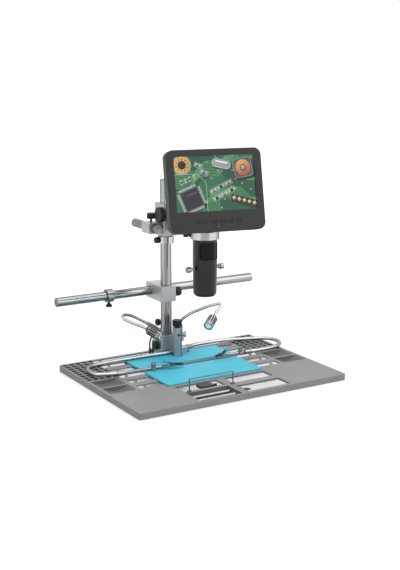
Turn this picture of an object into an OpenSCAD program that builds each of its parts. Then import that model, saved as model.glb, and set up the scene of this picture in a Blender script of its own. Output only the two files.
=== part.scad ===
// Digital inspection microscope with a tilting screen, a column stand with a
// focusing carriage, a cross boom, two bench lamps and two clip arms.
// Millimetres. +X runs along the base, +Y to the back, +Z up.
// The origin is at the middle of the base's underside, on the table.

/* [Base] */
// length of the base along X
base_l = 400; // [380:5:440]
// depth of the base along Y
base_w = 300; // [290:5:330]
// height of the base above the table
base_h = 11.6; // [11:0.2:13]
// corner radius of the base
base_r = 4; // [2:1:8]
// thickness of the two work mats
mat_h = 3; // [2:0.5:4]

/* [Column] */
// outside diameter of the column tube
column_d = 20; // [19:0.5:22]
// height of the column top above the table
column_top = 329; // [325:1:345]
// diameter of the short front post
post_d = 17; // [15:0.5:18]

/* [Boom] */
// diameter of the cross boom
boom_d = 16; // [15:0.5:17]
// length of the cross boom
boom_l = 404; // [380:4:440]
// height of the boom axis above the table
boom_z = 125; // [115:1:130]

/* [Microscope] */
// outside diameter of the barrel
barrel_d = 41.6; // [40:0.2:42]
// height of the barrel's lower rim
barrel_bottom = 147; // [145:1:155]
// outside diameter of the holder ring
ring_d = 49; // [48:0.5:52]

/* [Screen] */
// width of the screen housing
screen_w = 163; // [155:1:175]
// height of the screen housing
screen_h = 134; // [130:1:140]
// lean of the screen towards the back, degrees
screen_tilt = 13.1; // [8:0.1:20]
// turn of the screen to the left, degrees
screen_turn = 12; // [0:1:20]

/* [Lamps and arms] */
// diameter of the two lamp necks
neck_d = 5.5; // [5:0.5:6]
// diameter of a lamp head
head_d = 17; // [15:0.5:18]
// diameter of the two bendable clip arms
arm_d = 7; // [6:0.5:7.5]

/* [View] */
// which node to build

/* [Hidden] */
$fn = 48;
fit = 0.05;                    // radial clearance of a running fit
col_y = 120;                   // column axis
axis_y = -14;                  // microscope axis
boom_y = 150;                  // boom axis
seam = 0.3;                    // gap between the two base halves
foot_h = 1;                    // how far the feet lift the base
deck = base_h;                 // top face of the base
slot_floor = 6.4;              // floor of the rail slots
rail_w = 15.8;
rail_l = 279;
rail_y = [for (i = [0:5]) 135 - i * 33.2];
mat_top = deck + mat_h;
post_x = 4;
post_y = 88;
post_top = 67;
collar_z = 216;                // underside of the stop collar
car_z = 230;                   // underside of the carriage
car_top = 288;
car_y0 = 103;                  // front face of the carriage
side_x = -24;                  // axis of the side rod
side_z = 244;
side_d = 16;
shaft_y = 107.4;               // axis of the focusing shaft
shaft_z = 269;
roller_d = 9.4;
ring_z = 245;
ring_h = 13;
barrel_top = 286;
pivot_z = 312;                 // screen tilt axis
pivot_out = 16;                // tilt axis in front of the swivel axis
piv_y = 43.5;                  // tilt axis in the screen's own frame
piv_z = -23.4;
front_t = 8;                   // depth of the front bezel
back_t = 22;                   // depth of the whole housing
lcd_w = 137.4;
lcd_h = 89.6;
top_in = 55.5;                 // top edge of the housing above the display middle
low_z = top_in - screen_h;     // its bottom edge
wall = 2.5;                    // wall of the housing
btn_x = [-35, -21, -7, 7, 21, 35];
btn_z = (low_z - lcd_h / 2) / 2 - 0.35;   // row of the buttons, half-way up the chin
slot_z = low_z + wall + (btn_z - 3 - low_z - wall) * 7 / 11;   // small window below them
foot_d = 16;                   // diameter of a foot
screw_x = 126;                 // screws of the cross rails
clamp_screw_y = 114;           // axis of the boom clamp's screw
cell_d = 33.9;                 // moving lens cell
cell_z0 = 180;
cell_z1 = 201;
lock_z = 194;                  // axis of the two lock screws

steel = [0.75, 0.76, 0.78];
chrome = [0.82, 0.83, 0.85];
black = [0.08, 0.08, 0.09];
dark = [0.2, 0.2, 0.21];
grey = [0.55, 0.56, 0.56];
alloy = [0.62, 0.63, 0.64];
blue = [0.25, 0.72, 0.85];
green = [0.1, 0.4, 0.22];
glass = [0.7, 0.85, 0.9];
rubber = [0.12, 0.12, 0.13];

// ---------------------------------------------------------------- helpers

// flat rectangle with round corners
module plate2(w, h, r) {
  square([w - 2 * r, h], center = true);
  square([w, h - 2 * r], center = true);
  for (sx = [-1, 1], sy = [-1, 1]) {
    translate([sx * (w / 2 - r), sy * (h / 2 - r)]) circle(r);
  }
}

// upright block with round vertical edges, given by its middle and base height
module block(x, y, z, w, d, h, r) {
  translate([x, y, z]) linear_extrude(h) plate2(w, d, r);
}

// plain box from one corner to the other
module box(a, b) {
  translate(a) cube(b - a);
}

// cylinder along X, from x0 to x1
module rod_x(x0, x1, y, z, d) {
  translate([x0, y, z]) rotate([0, 90, 0]) cylinder(d = d, h = x1 - x0);
}

// cylinder along Y, from y0 to y1
module rod_y(x, y0, y1, z, d) {
  translate([x, y0, z]) rotate([-90, 0, 0]) cylinder(d = d, h = y1 - y0);
}

// cylinder along Z, from z0 to z1
module rod_z(x, y, z0, z1, d) {
  translate([x, y, z0]) cylinder(d = d, h = z1 - z0);
}

// turns +Z onto the direction v
module aim(v) {
  rotate([0, acos(v[2] / norm(v)), atan2(v[1], v[0])]) children();
}

// thumb knob on the +Z axis: a fluted head on a threaded stem that starts at 0
module knob(d, h, stem, stem_d, flutes) {
  cylinder(d = stem_d, h = stem + 0.01);
  translate([0, 0, stem]) difference() {
    union() {
      cylinder(d = d, h = h - 0.8);
      translate([0, 0, h - 0.81]) cylinder(d1 = d, d2 = d - 1.6, h = 0.81);
    }
    for (i = [0:flutes - 1]) {
      rotate(i * 360 / flutes) translate([d / 2 + 0.35 * d / 10, 0, -0.1])
        cylinder(d = d / 6, h = h + 0.2, $fn = 16);
    }
  }
}

// point of a smooth curve through four points
function bend(a, b, c, d, t) =
  0.5 * ((2 * b) + (c - a) * t + (2 * a - 5 * b + 4 * c - d) * t * t
  + (3 * b - a - 3 * c + d) * t * t * t);

// smooth route through all points, n steps for each stretch
function route(p, n) = concat([
  for (i = [0:len(p) - 2], k = [0:n - 1])
    bend(p[max(i - 1, 0)], p[i], p[i + 1], p[min(i + 2, len(p) - 1)], k / n)
], [p[len(p) - 1]]);

function unit(v) = v / norm(v);

// round tube along a route; ref is never parallel to the route
module tube(p, d, sides, ref) {
  n = len(p);
  t = [for (i = [0:n - 1]) unit(p[min(i + 1, n - 1)] - p[max(i - 1, 0)])];
  a = [for (i = [0:n - 1]) unit(cross(t[i], ref))];
  b = [for (i = [0:n - 1]) cross(t[i], a[i])];
  ring = [for (i = [0:n - 1], k = [0:sides - 1])
    p[i] + d / 2 * (cos(k * 360 / sides) * a[i] + sin(k * 360 / sides) * b[i])];
  side = [for (i = [0:n - 2], k = [0:sides - 1])
    [i * sides + k, (i + 1) * sides + k,
     (i + 1) * sides + (k + 1) % sides, i * sides + (k + 1) % sides]];
  first = [for (k = [0:sides - 1]) k];
  last = [for (k = [sides - 1:-1:0]) (n - 1) * sides + k];
  polyhedron(ring, concat([first], side, [last]), convexity = 8);
}

// ------------------------------------------------------------------- base

tray_x = base_l / 2 - 29;      // middle of the scooped trays
tray_r = 44.6;
pad_y = -45;                   // back edge of the flat front pads
c_mid = -77;                   // row of the shallow front plates
c_deep = 30;
d_mid = -125;                  // row of the front right plate
d_deep = 34;
f_in = 8;                      // inner and outer end of the front plates
f_out = 88;
foot_at = [for (x = [-1, 1], y = [-1, 1]) [x * (base_l / 2 - 16), y * (base_w / 2 - 10)],
           for (x = [-1, 1]) [x * 40, -base_w / 2 + 10], for (x = [-1, 1]) [x * 60, 118],
           [0, 0]];

foot_t = 2.2;                  // thickness of a foot
wire_x = [-80, 4];             // legs of the wire rest
wire_y = -97;
wire_z = base_h + 1.2;         // its hinge axis

module base_half(s) {
  difference() {
    union() {
      intersection() {
        translate([0, 0, foot_h]) linear_extrude(base_h - foot_h) plate2(base_l, base_w, base_r);
        box([s > 0 ? seam / 2 : -base_l, -base_w, 0], [s > 0 ? base_l : -seam / 2, base_w, 20]);
      }
      // ears that hold one leg of the wire rest
      for (d = [-2.1, 2.1]) {
        translate([wire_x[s > 0 ? 1 : 0] + d, wire_y, base_h + 1.4]) cube([1.6, 4.4, 3], center = true);
      }
    }
    rod_x(wire_x[s > 0 ? 1 : 0] - 5, wire_x[s > 0 ? 1 : 0] + 5, wire_y, wire_z, 2.2 + 2 * fit);
    // power inlet in the back edge
    if (s > 0) rod_y(60, 145, 152, 6, 4);
    // grid of small parts cells in the back corner
    for (i = [0:4], j = [0:8]) {
      translate([s * (base_l / 2 - 8 - i * 12.2), base_w / 2 - 8 - j * 12.2, base_h - 3])
        cube([9.4, 9.4, 10], center = true);
    }
    // two scooped trays along the side
    for (y = [[-4, 33], [-41, -9]]) {
      translate([s * tray_x, y[1], base_h - 7 + tray_r]) rotate([90, 0, 0])
        cylinder(r = tray_r, h = y[1] - y[0], $fn = 96);
    }
    // slots for the cross rails, with a deeper notch at their ends
    for (y = rail_y) {
      box([s > 0 ? -5 : -140, y - 8.3, slot_floor], [s > 0 ? 140 : 5, y + 8.3, 30]);
      box([s > 0 ? 134 : -140, y + 3.5, 4], [s > 0 ? 140 : -134, y + 8.3, 30]);
    }
    // shallow places of the front plates
    box([s > 0 ? f_in : -f_out, c_mid - c_deep / 2, slot_floor],
        [s > 0 ? f_out : -f_in, c_mid + c_deep / 2, 30]);
    if (s > 0) {
      box([f_in - 4, d_mid - d_deep / 2, slot_floor], [f_out, d_mid + d_deep / 2, 30]);
    } else {
      box([-f_out, -146, 3.4], [-f_in, -100, 30]);
    }
    // hollow under the flat front pad
    box([s > 0 ? 94 : -168, -128, -1], [s > 0 ? 168 : -94, -50, base_h - 2.8]);
    // pockets of the feet
    for (p = foot_at) translate([p[0], p[1], 0]) cylinder(d = foot_d + 0.2, h = foot_t);
  }
}

module base_left_half() { color(grey) base_half(-1); }

module base_right_half() { color(grey) base_half(1); }

module base_feet() {
  color(rubber) for (p = foot_at) translate([p[0], p[1], 0]) cylinder(d = foot_d, h = foot_t);
}

module cross_rails() {
  color(chrome) for (i = [0:5]) difference() {
    translate([0, rail_y[i], slot_floor]) linear_extrude(4.2) plate2(rail_l, rail_w, 1);
    for (x = [-screw_x, screw_x]) rod_z(x, rail_y[i], slot_floor - 1, deck + 5, 3.2);
  }
}

module rail_screws() {
  color(steel) for (y = rail_y, x = [-screw_x, screw_x]) {
    rod_z(x, y, slot_floor, slot_floor + 4.3, 3);
    difference() {
      rod_z(x, y, slot_floor + 4.2, slot_floor + 5.1, 5.6);
      translate([x, y, slot_floor + 4.7]) cylinder(d = 2.6, h = 2, $fn = 6);
    }
  }
}

module tray_plates() {
  color(chrome) {
    for (s = [-1, 1]) {
      translate([s * (f_in + f_out) / 2, c_mid, slot_floor])
        linear_extrude(3.6) plate2(f_out - f_in - 0.6, c_deep - 0.6, 1);
    }
    difference() {
      translate([(f_in + f_out) / 2, d_mid, slot_floor])
        linear_extrude(3.6) plate2(f_out - f_in - 0.6, d_deep - 0.6, 1);
      translate([f_in + 4, d_mid - 2, 0]) cylinder(d = 13, h = 20);
    }
  }
}

// two loose rods in the front tray and the magnet pad on a front plate
module tray_tools() {
  color(steel) for (y = [-112, -130]) {
    rod_x(-84, -14, y, 6.4, 6);
    translate([-14, y, 6.4]) sphere(d = 6);
  }
  color(dark) block(-38, -78, slot_floor + 3.6, 26, 18, 2.4, 1.5);
  color(chrome) rod_z(-22, -84, slot_floor + 3.6, slot_floor + 6.4, 5);
}

module back_mat() {
  color(blue) difference() {
    block(2.5, 80, deck, 189, 62, mat_h, 3);
    rod_z(post_x, post_y, 0, 40, post_d + 1);
    // room for the arm hub and the foot of the column socket
    box([7.5, 96.6, 0], [36, 120, 30]);
    box([-13.4, 108.6, 0], [13.4, 120, 30]);
  }
}

module front_mat() {
  color(blue) block(-1.5, -12, deck, 187, 84, mat_h, 3);
}

// ------------------------------------------------- column, socket and post

module socket_block() {
  color(alloy) difference() {
    union() {
      block(0, 124, deck, 26, 30, 9.5, 2);
      block(0, 122, deck + 9.4, 34, 29, 47 - deck - 9.4, 2.5);
      box([16, 99, 36], [24.2, 111, 50]);
      box([16, 108, 36], [17, 112, 46]);
    }
    rod_z(0, col_y, deck + 4, 60, column_d);
    rod_x(-30, -9, 122, 29, 4);
    rod_z(20.5, 105, 40, 60, 9);
  }
}

module socket_knob() {
  color(black) translate([-10.2, 122, 29]) rotate([0, -90, 0]) knob(16, 7, 8.2, 3.9, 12);
  color(chrome) translate([-25.3, 122, 29]) rotate([0, -90, 0]) cylinder(d1 = 8, d2 = 5, h = 1.6);
}

module column_tube() {
  color(chrome) difference() {
    rod_z(0, col_y, deck + 4, column_top - 2, column_d);
    rod_z(0, col_y, deck + 3, column_top, column_d - 4);
  }
  // end cap
  color(black) {
    rod_z(0, col_y, column_top - 2, column_top, column_d);
    rod_z(0, col_y, column_top - 12, column_top - 1.9, column_d - 4);
  }
}

module front_post() {
  color(chrome) difference() {
    rod_z(post_x, post_y, deck, post_top, post_d);
    rod_z(post_x, post_y, 30, post_top + 5, 8);
    translate([post_x, post_y, 54]) rotate([0, 0, -35]) rotate([0, 90, 0]) cylinder(d = 5, h = 20);
    translate([post_x, post_y, 54]) rotate([0, 0, -100]) rotate([0, 90, 0]) cylinder(d = 4.5, h = 20);
  }
}

module post_knob() {
  color(black) translate([post_x, post_y, 40]) {
    cylinder(d = 7.9, h = post_top - 40 + 2.5);
    translate([0, 0, post_top - 40 + 2.4]) knob(17, 11, 0, 7.9, 20);
  }
}

module post_thumb_screw() {
  color(chrome) translate([post_x, post_y, 54]) rotate([0, 0, -35]) rotate([0, 90, 0])
    translate([0, 0, 4.5]) {
      cylinder(d = 4.9, h = 6);
      translate([0, 0, 5]) cylinder(d = 7, h = 3);
      translate([0, 0, 8]) cylinder(d = 10.4, h = 3.4);
    }
}

// -------------------------------------------------------- lamps and leads

// middle lines of the two lamp necks, from the bracket to the lamp head
left_neck = [[-29, 137, 67], [-46, 136, 77], [-62, 133, 86], [-76, 127, 91.5],
             [-88, 119, 93.5], [-91, 112, 90.5], [-84, 106, 85.5], [-73, 100, 80],
             [-63, 96, 75.5], [-54, 91.6, 70.4]];
right_neck = [[20.5, 105, 66], [21, 103.5, 73], [27, 98, 81], [37, 88, 90], [45.5, 75, 97.5],
              [53.5, 62, 104.8], [63, 52, 109], [67.5, 47, 111], [68.5, 44, 108],
              [63.5, 42, 103], [58.5, 41, 99.5], [52, 39.3, 93], [49.3, 37.5, 90.6]];
left_aim = [0.61, -0.668, -0.45];
left_rear = [-55, 92, 71];
right_aim = [-0.744, -0.518, -0.422];
right_rear = [50, 38, 91];
head_l = 28;

module lamp_bracket() {
  color(alloy) difference() {
    union() {
      box([-17, 136.5, 26], [17, 141.5, 48]);
      box([0, 136.5, 40], [8, 142, 72]);
      translate([3, 141, 46]) aim([-32, -4, 21]) cylinder(d = 8, h = 38.5);
      rod_z(20.5, 105, 40, 66, 9);
    }
    rod_x(-4, 9, 139.5, 66, 3);
    for (x = [-14, -8]) rod_y(x, 138, 143, 42, 3);
  }
}

module bracket_knob() {
  color(black) translate([7, 139.5, 66]) rotate([0, -90, 0]) knob(12.5, 6, 11, 2.9, 10);
  color(chrome) translate([-10, 139.5, 66]) rotate([0, -90, 0]) cylinder(d1 = 6, d2 = 3, h = 2);
}

module lamp_necks() {
  color(steel) {
    tube(route(left_neck, 4), neck_d, 12, [0, 1, 0]);
    tube(route(right_neck, 4), neck_d, 12, [0.2, 1, 0]);
  }
}

// lamp head shell along +Z, open at the front
module head_shell() {
  difference() {
    union() {
      cylinder(d1 = 11, d2 = head_d, h = 3);
      translate([0, 0, 2.9]) cylinder(d = head_d, h = head_l - 2.9);
    }
    translate([0, 0, head_l - 5]) cylinder(d = head_d - 2.4, h = 6);
  }
}

module lamp_heads() {
  color(chrome) {
    translate(left_rear) aim(left_aim) head_shell();
    translate(right_rear) aim(right_aim) head_shell();
  }
  color(glass) {
    translate(left_rear) aim(left_aim) translate([0, 0, head_l - 5]) cylinder(d = head_d - 2.4, h = 4);
    translate(right_rear) aim(right_aim) translate([0, 0, head_l - 5]) cylinder(d = head_d - 2.4, h = 4);
  }
}

// the two leads from the bracket into their sockets at the back of the base
plug_x = [-20, -14];
plug_y = 146.5;
lead_a = [[-14, 139, 42], [-14.4, 144, 41.2], [-16.6, 147, 36.5], [-18.8, 148, 29],
          [-19.8, 147.4, 22.5], [plug_x[0], plug_y, 16.6]];
lead_b = [[-8, 139, 42], [-8.4, 144, 41.2], [-10.6, 147, 36.5], [-12.8, 148, 29],
          [-13.8, 147.4, 22.5], [plug_x[1], plug_y, 16.6]];

module lamp_leads() {
  color(black) {
    tube(route(lead_a, 4), 3, 8, [1, 0, 0]);
    tube(route(lead_b, 4), 3, 8, [1, 0, 0]);
    for (x = plug_x) {
      rod_z(x, plug_y, deck, deck + 2, 5.4);
      translate([x, plug_y, deck + 2]) cylinder(d1 = 5, d2 = 3.8, h = 4.2);
    }
  }
}

// --------------------------------------------------------------- clip arms

arm_z = 18.3;
left_arm = [for (p = [[12, 101], [0.5, 100.7], [-43.7, 102.7], [-83.6, 103.3], [-123.6, 102.3],
                      [-158.7, 96.8], [-177.2, 79.2], [-177.1, 49.6], [-159.8, 39.3], [-139, 34]])
            [p[0], p[1], arm_z]];
right_arm = [for (p = [[30, 105.2], [40, 112.5], [60, 120], [90, 122], [125, 119.5], [152, 109.5],
                       [180, 99.5], [200, 88], [207, 68], [200, 48], [188, 38.5], [168, 32.5],
                       [140, 31], [120, 33]])
             [p[0], p[1], arm_z]];
left_rod = [[-139, 34, arm_z], [-61, 26, 20]];
right_rod = [[120, 33, arm_z], [71, 31, 20]];
left_tip = [-24, 18.5, 20];
right_tip = [48, 28, 20];
piv_up = 2.2;                  // pins of the clips above their tips

// pin of a clip, on the straight line from the rod's end to the tip
function on_line(a, b, x) = a + (b - a) * (x - a[0]) / (b[0] - a[0]) + [0, 0, piv_up];

left_piv = on_line(left_rod[1], left_tip, -43);
right_piv = on_line(right_rod[1], right_tip, 61);

module arm_hub() {
  color(alloy) difference() {
    union() {
      block(22, 102.2, deck, 17, 10.2, 12.4, 1.5);
      rod_x(8, 14, 101, arm_z, 8.4);
      translate([28, 103.8, arm_z]) aim([10, 7.3, 0]) cylinder(d = 8.4, h = 6);
    }
    // seats of the two arms
    rod_x(0, 12, 101, arm_z, arm_d);
    translate(right_arm[0]) aim([10, 7.3, 0]) cylinder(d = arm_d, h = 20);
  }
}

module left_flex_arm() {
  color(chrome) tube(route(left_arm, 5), arm_d, 12, [0, 0, 1]);
}

module right_flex_arm() {
  color(chrome) tube(route(right_arm, 5), arm_d, 12, [0, 0, 1]);
}

// round bar between two points
module strut(a, b, d) {
  translate(a) aim(b - a) cylinder(d = d, h = norm(b - a));
}

// fixed half of a clip: a tapered bar from the rod's end to the tip
module clip_fixed(rod, piv, tip) {
  v = unit([tip[0] - rod[1][0], tip[1] - rod[1][1], 0]);
  a = atan2(v[1], v[0]);
  len = norm([tip[0] - rod[1][0], tip[1] - rod[1][1]]);
  ear = norm([piv[0] - rod[1][0], piv[1] - rod[1][1]]);
  translate([rod[1][0], rod[1][1], 0]) rotate([0, 0, a]) difference() {
    union() {
      translate([0, 3, 0]) rotate([90, 0, 0])
        linear_extrude(6) polygon([[-2, 18.4], [len, 18.8], [len, 20.2], [len - 3, 20.2],
          [len * 0.4, 20.9], [0, 21.4], [-2, 21.4]]);
      // ears that hold the jaw's pin
      for (s = [-1, 1]) translate([ear, s * 3.4, 21.3]) cube([5.2, 1.2, 5.4], center = true);
    }
    translate([ear, 0, piv[2]]) rotate([90, 0, 0]) cylinder(d = 2.6 + 2 * fit, h = 10, center = true);
  }
}

clip_at = [[-78, 27.7], [103, 32.4]];
clip_top = 22;

// holder between an arm's end and its clip
module clip_holder(rod, piv, tip, at) {
  difference() {
    union() {
      strut(rod[0], rod[1], 4);
      translate(rod[0]) aim(rod[1] - rod[0]) translate([0, 0, -6]) cylinder(d = 9, h = 14);
      block(at[0], at[1], clip_top - 5, 8, 8, 5, 2);
    }
    // seat of the arm's end and threaded hole of the thumb screw
    translate(rod[0]) aim(rod[1] - rod[0]) translate([0, 0, -7]) cylinder(d = arm_d, h = 7);
    rod_z(at[0], at[1], clip_top - 2, clip_top + 1, 4);
  }
  clip_fixed(rod, piv, tip);
}

module clip_rods() {
  color(steel) {
    clip_holder(left_rod, left_piv, left_tip, clip_at[0]);
    clip_holder(right_rod, right_piv, right_tip, clip_at[1]);
  }
}

module clip_screw(i) {
  color(steel) translate([clip_at[i][0], clip_at[i][1], clip_top - 1.8]) knob(8.5, 6, 3.4, 3.9, 12);
}

module left_clip_screw() { clip_screw(0); }

module right_clip_screw() { clip_screw(1); }

// moving half of a clip: jaw in front of the pivot, handle behind it
module clip_moving(piv, tip, back) {
  v = [tip[0] - piv[0], tip[1] - piv[1]];
  len = norm(v);
  translate(piv) rotate([0, 0, atan2(v[1], v[0])]) {
    translate([0, 2.5, 0]) rotate([90, 0, 0]) linear_extrude(5)
      polygon([[-back, 5.2], [-back, 7], [0, 1.9], [len, 0.2], [len, -1.5], [len - 3, -1.5],
        [0, -0.9]]);
    rotate([90, 0, 0]) cylinder(d = 2.6, h = 8.4, center = true);
  }
}

module left_clip_jaw() {
  color(dark) clip_moving(left_piv, left_tip, 12);
  color(blue) clip_sleeve(left_piv, left_tip);
}

module right_clip_jaw() {
  color(dark) clip_moving(right_piv, right_tip, 12);
  color(blue) clip_sleeve(right_piv, right_tip);
}

// blue sleeve over the handle of one clip
module clip_sleeve(piv, tip) {
  v = [tip[0] - piv[0], tip[1] - piv[1]];
  translate(piv) rotate([0, 0, atan2(v[1], v[0])]) translate([-12.6, 0, 6.2]) rotate([0, 98, 0])
    cylinder(d = 6.4, h = 9, center = true);
}

module wire_rest() {
  color(chrome) {
    for (x = wire_x) {
      rod_z(x, wire_y, wire_z, 33.6, 2);
      translate([x, wire_y, 33.6]) sphere(d = 2);
      rod_x(x - 3.4, x + 3.4, wire_y, wire_z, 2.2);
    }
    rod_x(wire_x[0], wire_x[1], wire_y, 33.6, 2);
  }
}

// -------------------------------------------------------------------- boom

module boom_clamp() {
  color(alloy) difference() {
    union() {
      block(-2, 120, boom_z - 14, 30, 32, 28, 4);
      box([-17, 128, boom_z - 14], [13, 164, boom_z + 14]);
    }
    rod_z(0, col_y, boom_z - 20, boom_z + 20, column_d + 2 * fit);
    rod_x(-30, 30, boom_y, boom_z, boom_d + 2 * fit);
    rod_x(9, 30, clamp_screw_y, boom_z + 1, 5);
    rod_x(12, 30, 150, boom_z, 5);
    box([-18, 102, boom_z - 20], [-16.4, 110, boom_z + 20]);
  }
}

module boom_clamp_knob() {
  color(black) translate([9.7, clamp_screw_y, boom_z + 1]) rotate([0, 90, 0]) knob(17, 9, 6, 4.9, 14);
}

module boom_bar() {
  hole_l = [for (i = [0:3]) -188 + i * 20];
  hole_r = [for (i = [0:4]) 48 + i * 34.5];
  color(chrome) difference() {
    union() {
      rod_x(-boom_l / 2 + 1, boom_l / 2 - 1, boom_y, boom_z, boom_d);
      rod_x(-boom_l / 2, boom_l / 2, boom_y, boom_z, boom_d - 1.6);
    }
    for (x = concat(hole_l, hole_r)) rod_z(x, boom_y, boom_z + 2, boom_z + 20, 4);
  }
}

module boom_collar() {
  color(chrome) difference() {
    rod_x(-106, -94, boom_y, boom_z, boom_d + 7.4);
    rod_x(-110, -90, boom_y, boom_z, boom_d + 2 * fit);
    rod_z(-100, boom_y, boom_z - 20, boom_z, 3.4);
  }
}

module boom_collar_knob() {
  color(black) translate([-100, boom_y, boom_z - boom_d / 2 - 0.4]) rotate([180, 0, 0]) {
    cylinder(d = 3.3, h = 6);
    translate([0, 0, 5]) cylinder(d1 = 5, d2 = 11, h = 4);
    translate([0, 0, 9]) cylinder(d = 11.5, h = 2.6);
  }
}

// --------------------------------------------------- carriage and focusing

module stop_collar() {
  color(chrome) difference() {
    rod_z(0, col_y, collar_z, collar_z + 12, 29);
    rod_z(0, col_y, 200, 240, column_d + 2 * fit);
    rod_x(-20, -8, col_y, collar_z + 6, 4);
  }
}

module stop_collar_knob() {
  color(black) translate([-10.4, col_y, collar_z + 6]) rotate([0, -90, 0]) knob(11, 7, 4.6, 3.9, 10);
}

module carriage() {
  color(alloy) difference() {
    union() {
      // column block
      translate([0, 0, car_z]) linear_extrude(car_top - car_z)
        translate([0, car_y0 + 16.5]) plate2(27, 33, 2);
      // side clamp of the extension rod
      translate([0, 116, 0]) rotate([-90, 0, 0]) linear_extrude(27.5)
        translate([side_x, -side_z]) plate2(24, 20, 4);
      // two face screws
      for (z = [car_z + 5, car_z + 12]) rod_x(-15.4, -13.4, 107, z, 5);
    }
    rod_z(0, col_y, car_z - 5, car_top + 5, column_d + 2 * fit);
    rod_y(side_x, 100, 160, side_z, side_d + 2 * fit);
    rod_z(side_x, 130, side_z + 5, 270, 4);
    // bore of the focusing shaft and room for its two rollers
    rod_x(-30, 30, shaft_y, shaft_z, 3 + 2 * fit);
    for (s = [-1, 1]) rod_x(s * 9.4 - 1.2, s * 9.4 + 1.2, shaft_y, shaft_z, roller_d + 0.6);
    rod_y(0, 125, 140, 262, 5);
    for (z = [car_z + 5, car_z + 12]) {
      translate([-16, 107, z]) rotate([0, 90, 0]) cylinder(d = 2.8, h = 1.6, $fn = 6);
    }
    // groove of the focusing slide
    translate([0, car_y0 - 0.1, 0]) linear_extrude(400)
      polygon([[-4.3, -1], [-4.3, 0], [-5.6, 2.15], [5.6, 2.15], [4.3, 0], [4.3, -1]]);
  }
}

module carriage_lock_knob() {
  color(black) translate([0, 130.2, 262]) rotate([-90, 0, 0]) knob(15, 8, 6.8, 4.9, 14);
}

module side_rod() {
  color(alloy) {
    rod_y(side_x, 104, 190, side_z, side_d);
    rod_y(side_x, 190, 192, side_z, side_d - 3);
  }
}

module side_rod_knob() {
  color(black) translate([side_x, 130, side_z + side_d / 2 + 0.3]) knob(15, 10, 7.7, 3.9, 14);
}

module focus_knobs() {
  color(black) for (s = [-1, 1]) {
    translate([s * 13.9, shaft_y, shaft_z]) rotate([0, s * 90, 0]) knob(27, 9, 0, 8, 22);
  }
  color(steel) {
    rod_x(-14.5, 14.5, shaft_y, shaft_z, 3);
    for (s = [-1, 1]) rod_x(s * 9.4 - 1, s * 9.4 + 1, shaft_y, shaft_z, roller_d);
  }
}

module focus_slide() {
  color(alloy) {
    box([-11, 86, 243.5], [11, car_y0 - 0.5, 297]);
    // dovetail
    translate([0, car_y0 - 0.1, 243.5]) linear_extrude(53.5)
      polygon([[-4, -1], [-4, 0.1], [-5.2, 1.9], [5.2, 1.9], [4, 0.1], [4, -1]]);
  }
  color(chrome) {
    // arm from the slide to the ring
    translate([5, 0, 0]) rotate([0, -90, 0]) linear_extrude(10)
      polygon([[243.6, 87], [236.5, 84], [237.5, 68], [ring_z, 20], [ring_z, 8],
        [ring_z + ring_h, 8], [ring_z + ring_h + 3, 40], [ring_z + 24, 87]]);
    // ring around the barrel
    difference() {
      rod_z(0, axis_y, ring_z, ring_z + ring_h, ring_d);
      rod_z(0, axis_y, ring_z - 5, ring_z + 20, barrel_d + 2 * fit);
      translate([0, axis_y, ring_z + 5]) rotate([0, 0, 135]) rotate([0, 90, 0]) cylinder(d = 4, h = 40);
    }
  }
}

module ring_screw() {
  color(black) translate([0, axis_y, ring_z + 5]) rotate([0, 0, 135]) rotate([0, 90, 0])
    translate([0, 0, barrel_d / 2 + 0.3]) {
      cylinder(d = 3.9, h = 12);
      translate([0, 0, 4.4]) cylinder(d = 9, h = 1.6);
      translate([0, 0, 8.4]) cylinder(d = 10, h = 7);
    }
}

// -------------------------------------------------------------- microscope

win_z0 = 209;                  // room of the focus wheel
win_z1 = 242;
win_w = 35;                    // width and corner radius of the window in front of it
win_r = 5;

module barrel() {
  color(black) translate([0, axis_y, 0]) difference() {
    union() {
      translate([0, 0, barrel_bottom + 4]) cylinder(d1 = 39.4, d2 = barrel_d, h = 200 - barrel_bottom - 4, $fn = 96);
      translate([0, 0, barrel_bottom]) cylinder(d1 = 33, d2 = 39.4, h = 4.01, $fn = 96);
      translate([0, 0, 199.9]) cylinder(d = barrel_d, h = barrel_top - 199.9, $fn = 96);
    }
    translate([0, 0, barrel_bottom - 1]) cylinder(d = 27, h = 30);
    translate([0, 0, barrel_bottom + 10]) cylinder(d = 34, h = barrel_top - barrel_bottom - 14);
    translate([0, 0, win_z0 - 1]) cylinder(d = 38.6, h = win_z1 - win_z0 + 2);
    // window over the focus wheel
    translate([0, -9, (win_z0 + win_z1) / 2]) rotate([90, 0, 0]) linear_extrude(20)
      plate2(win_w, win_z1 - win_z0 - 4, win_r);
    // holes of the two lock screws
    for (s = [-1, 1]) rotate([0, 90, 0]) translate([-lock_z, 0, s > 0 ? 10 : -30]) cylinder(d = 4, h = 20);
    translate([0, 0, barrel_top - 5]) cylinder(d = 10 + 2 * fit, h = 10);
  }
}

module focus_wheel() {
  color(rubber) translate([0, axis_y, 0]) difference() {
    rod_z(0, 0, win_z0 - 0.8, win_z1 + 0.8, 38.5);
    rod_z(0, 0, win_z0 - 2, win_z1 + 2, 30);
    for (i = [0:35]) rotate(i * 10) translate([19.5, 0, win_z0 + 3])
      cylinder(d = 1.2, h = win_z1 - win_z0 - 6, $fn = 12);
  }
}

module lens_cell() {
  translate([0, axis_y, 0]) {
    color(dark) difference() {
      rod_z(0, 0, cell_z0, cell_z1, cell_d);
      rod_z(0, 0, cell_z0 - 1, cell_z1 + 1, 20);
    }
    color(glass) {
      rod_z(0, 0, cell_z0 + 2, cell_z0 + 6, 20);
      rod_z(0, 0, cell_z1 - 4, cell_z1 - 1, 20);
    }
    color(dark) for (s = [-1, 1]) translate([s * 13, 0, cell_z1 - 1]) cylinder(d = 2.6, h = 14);
  }
}

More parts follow.
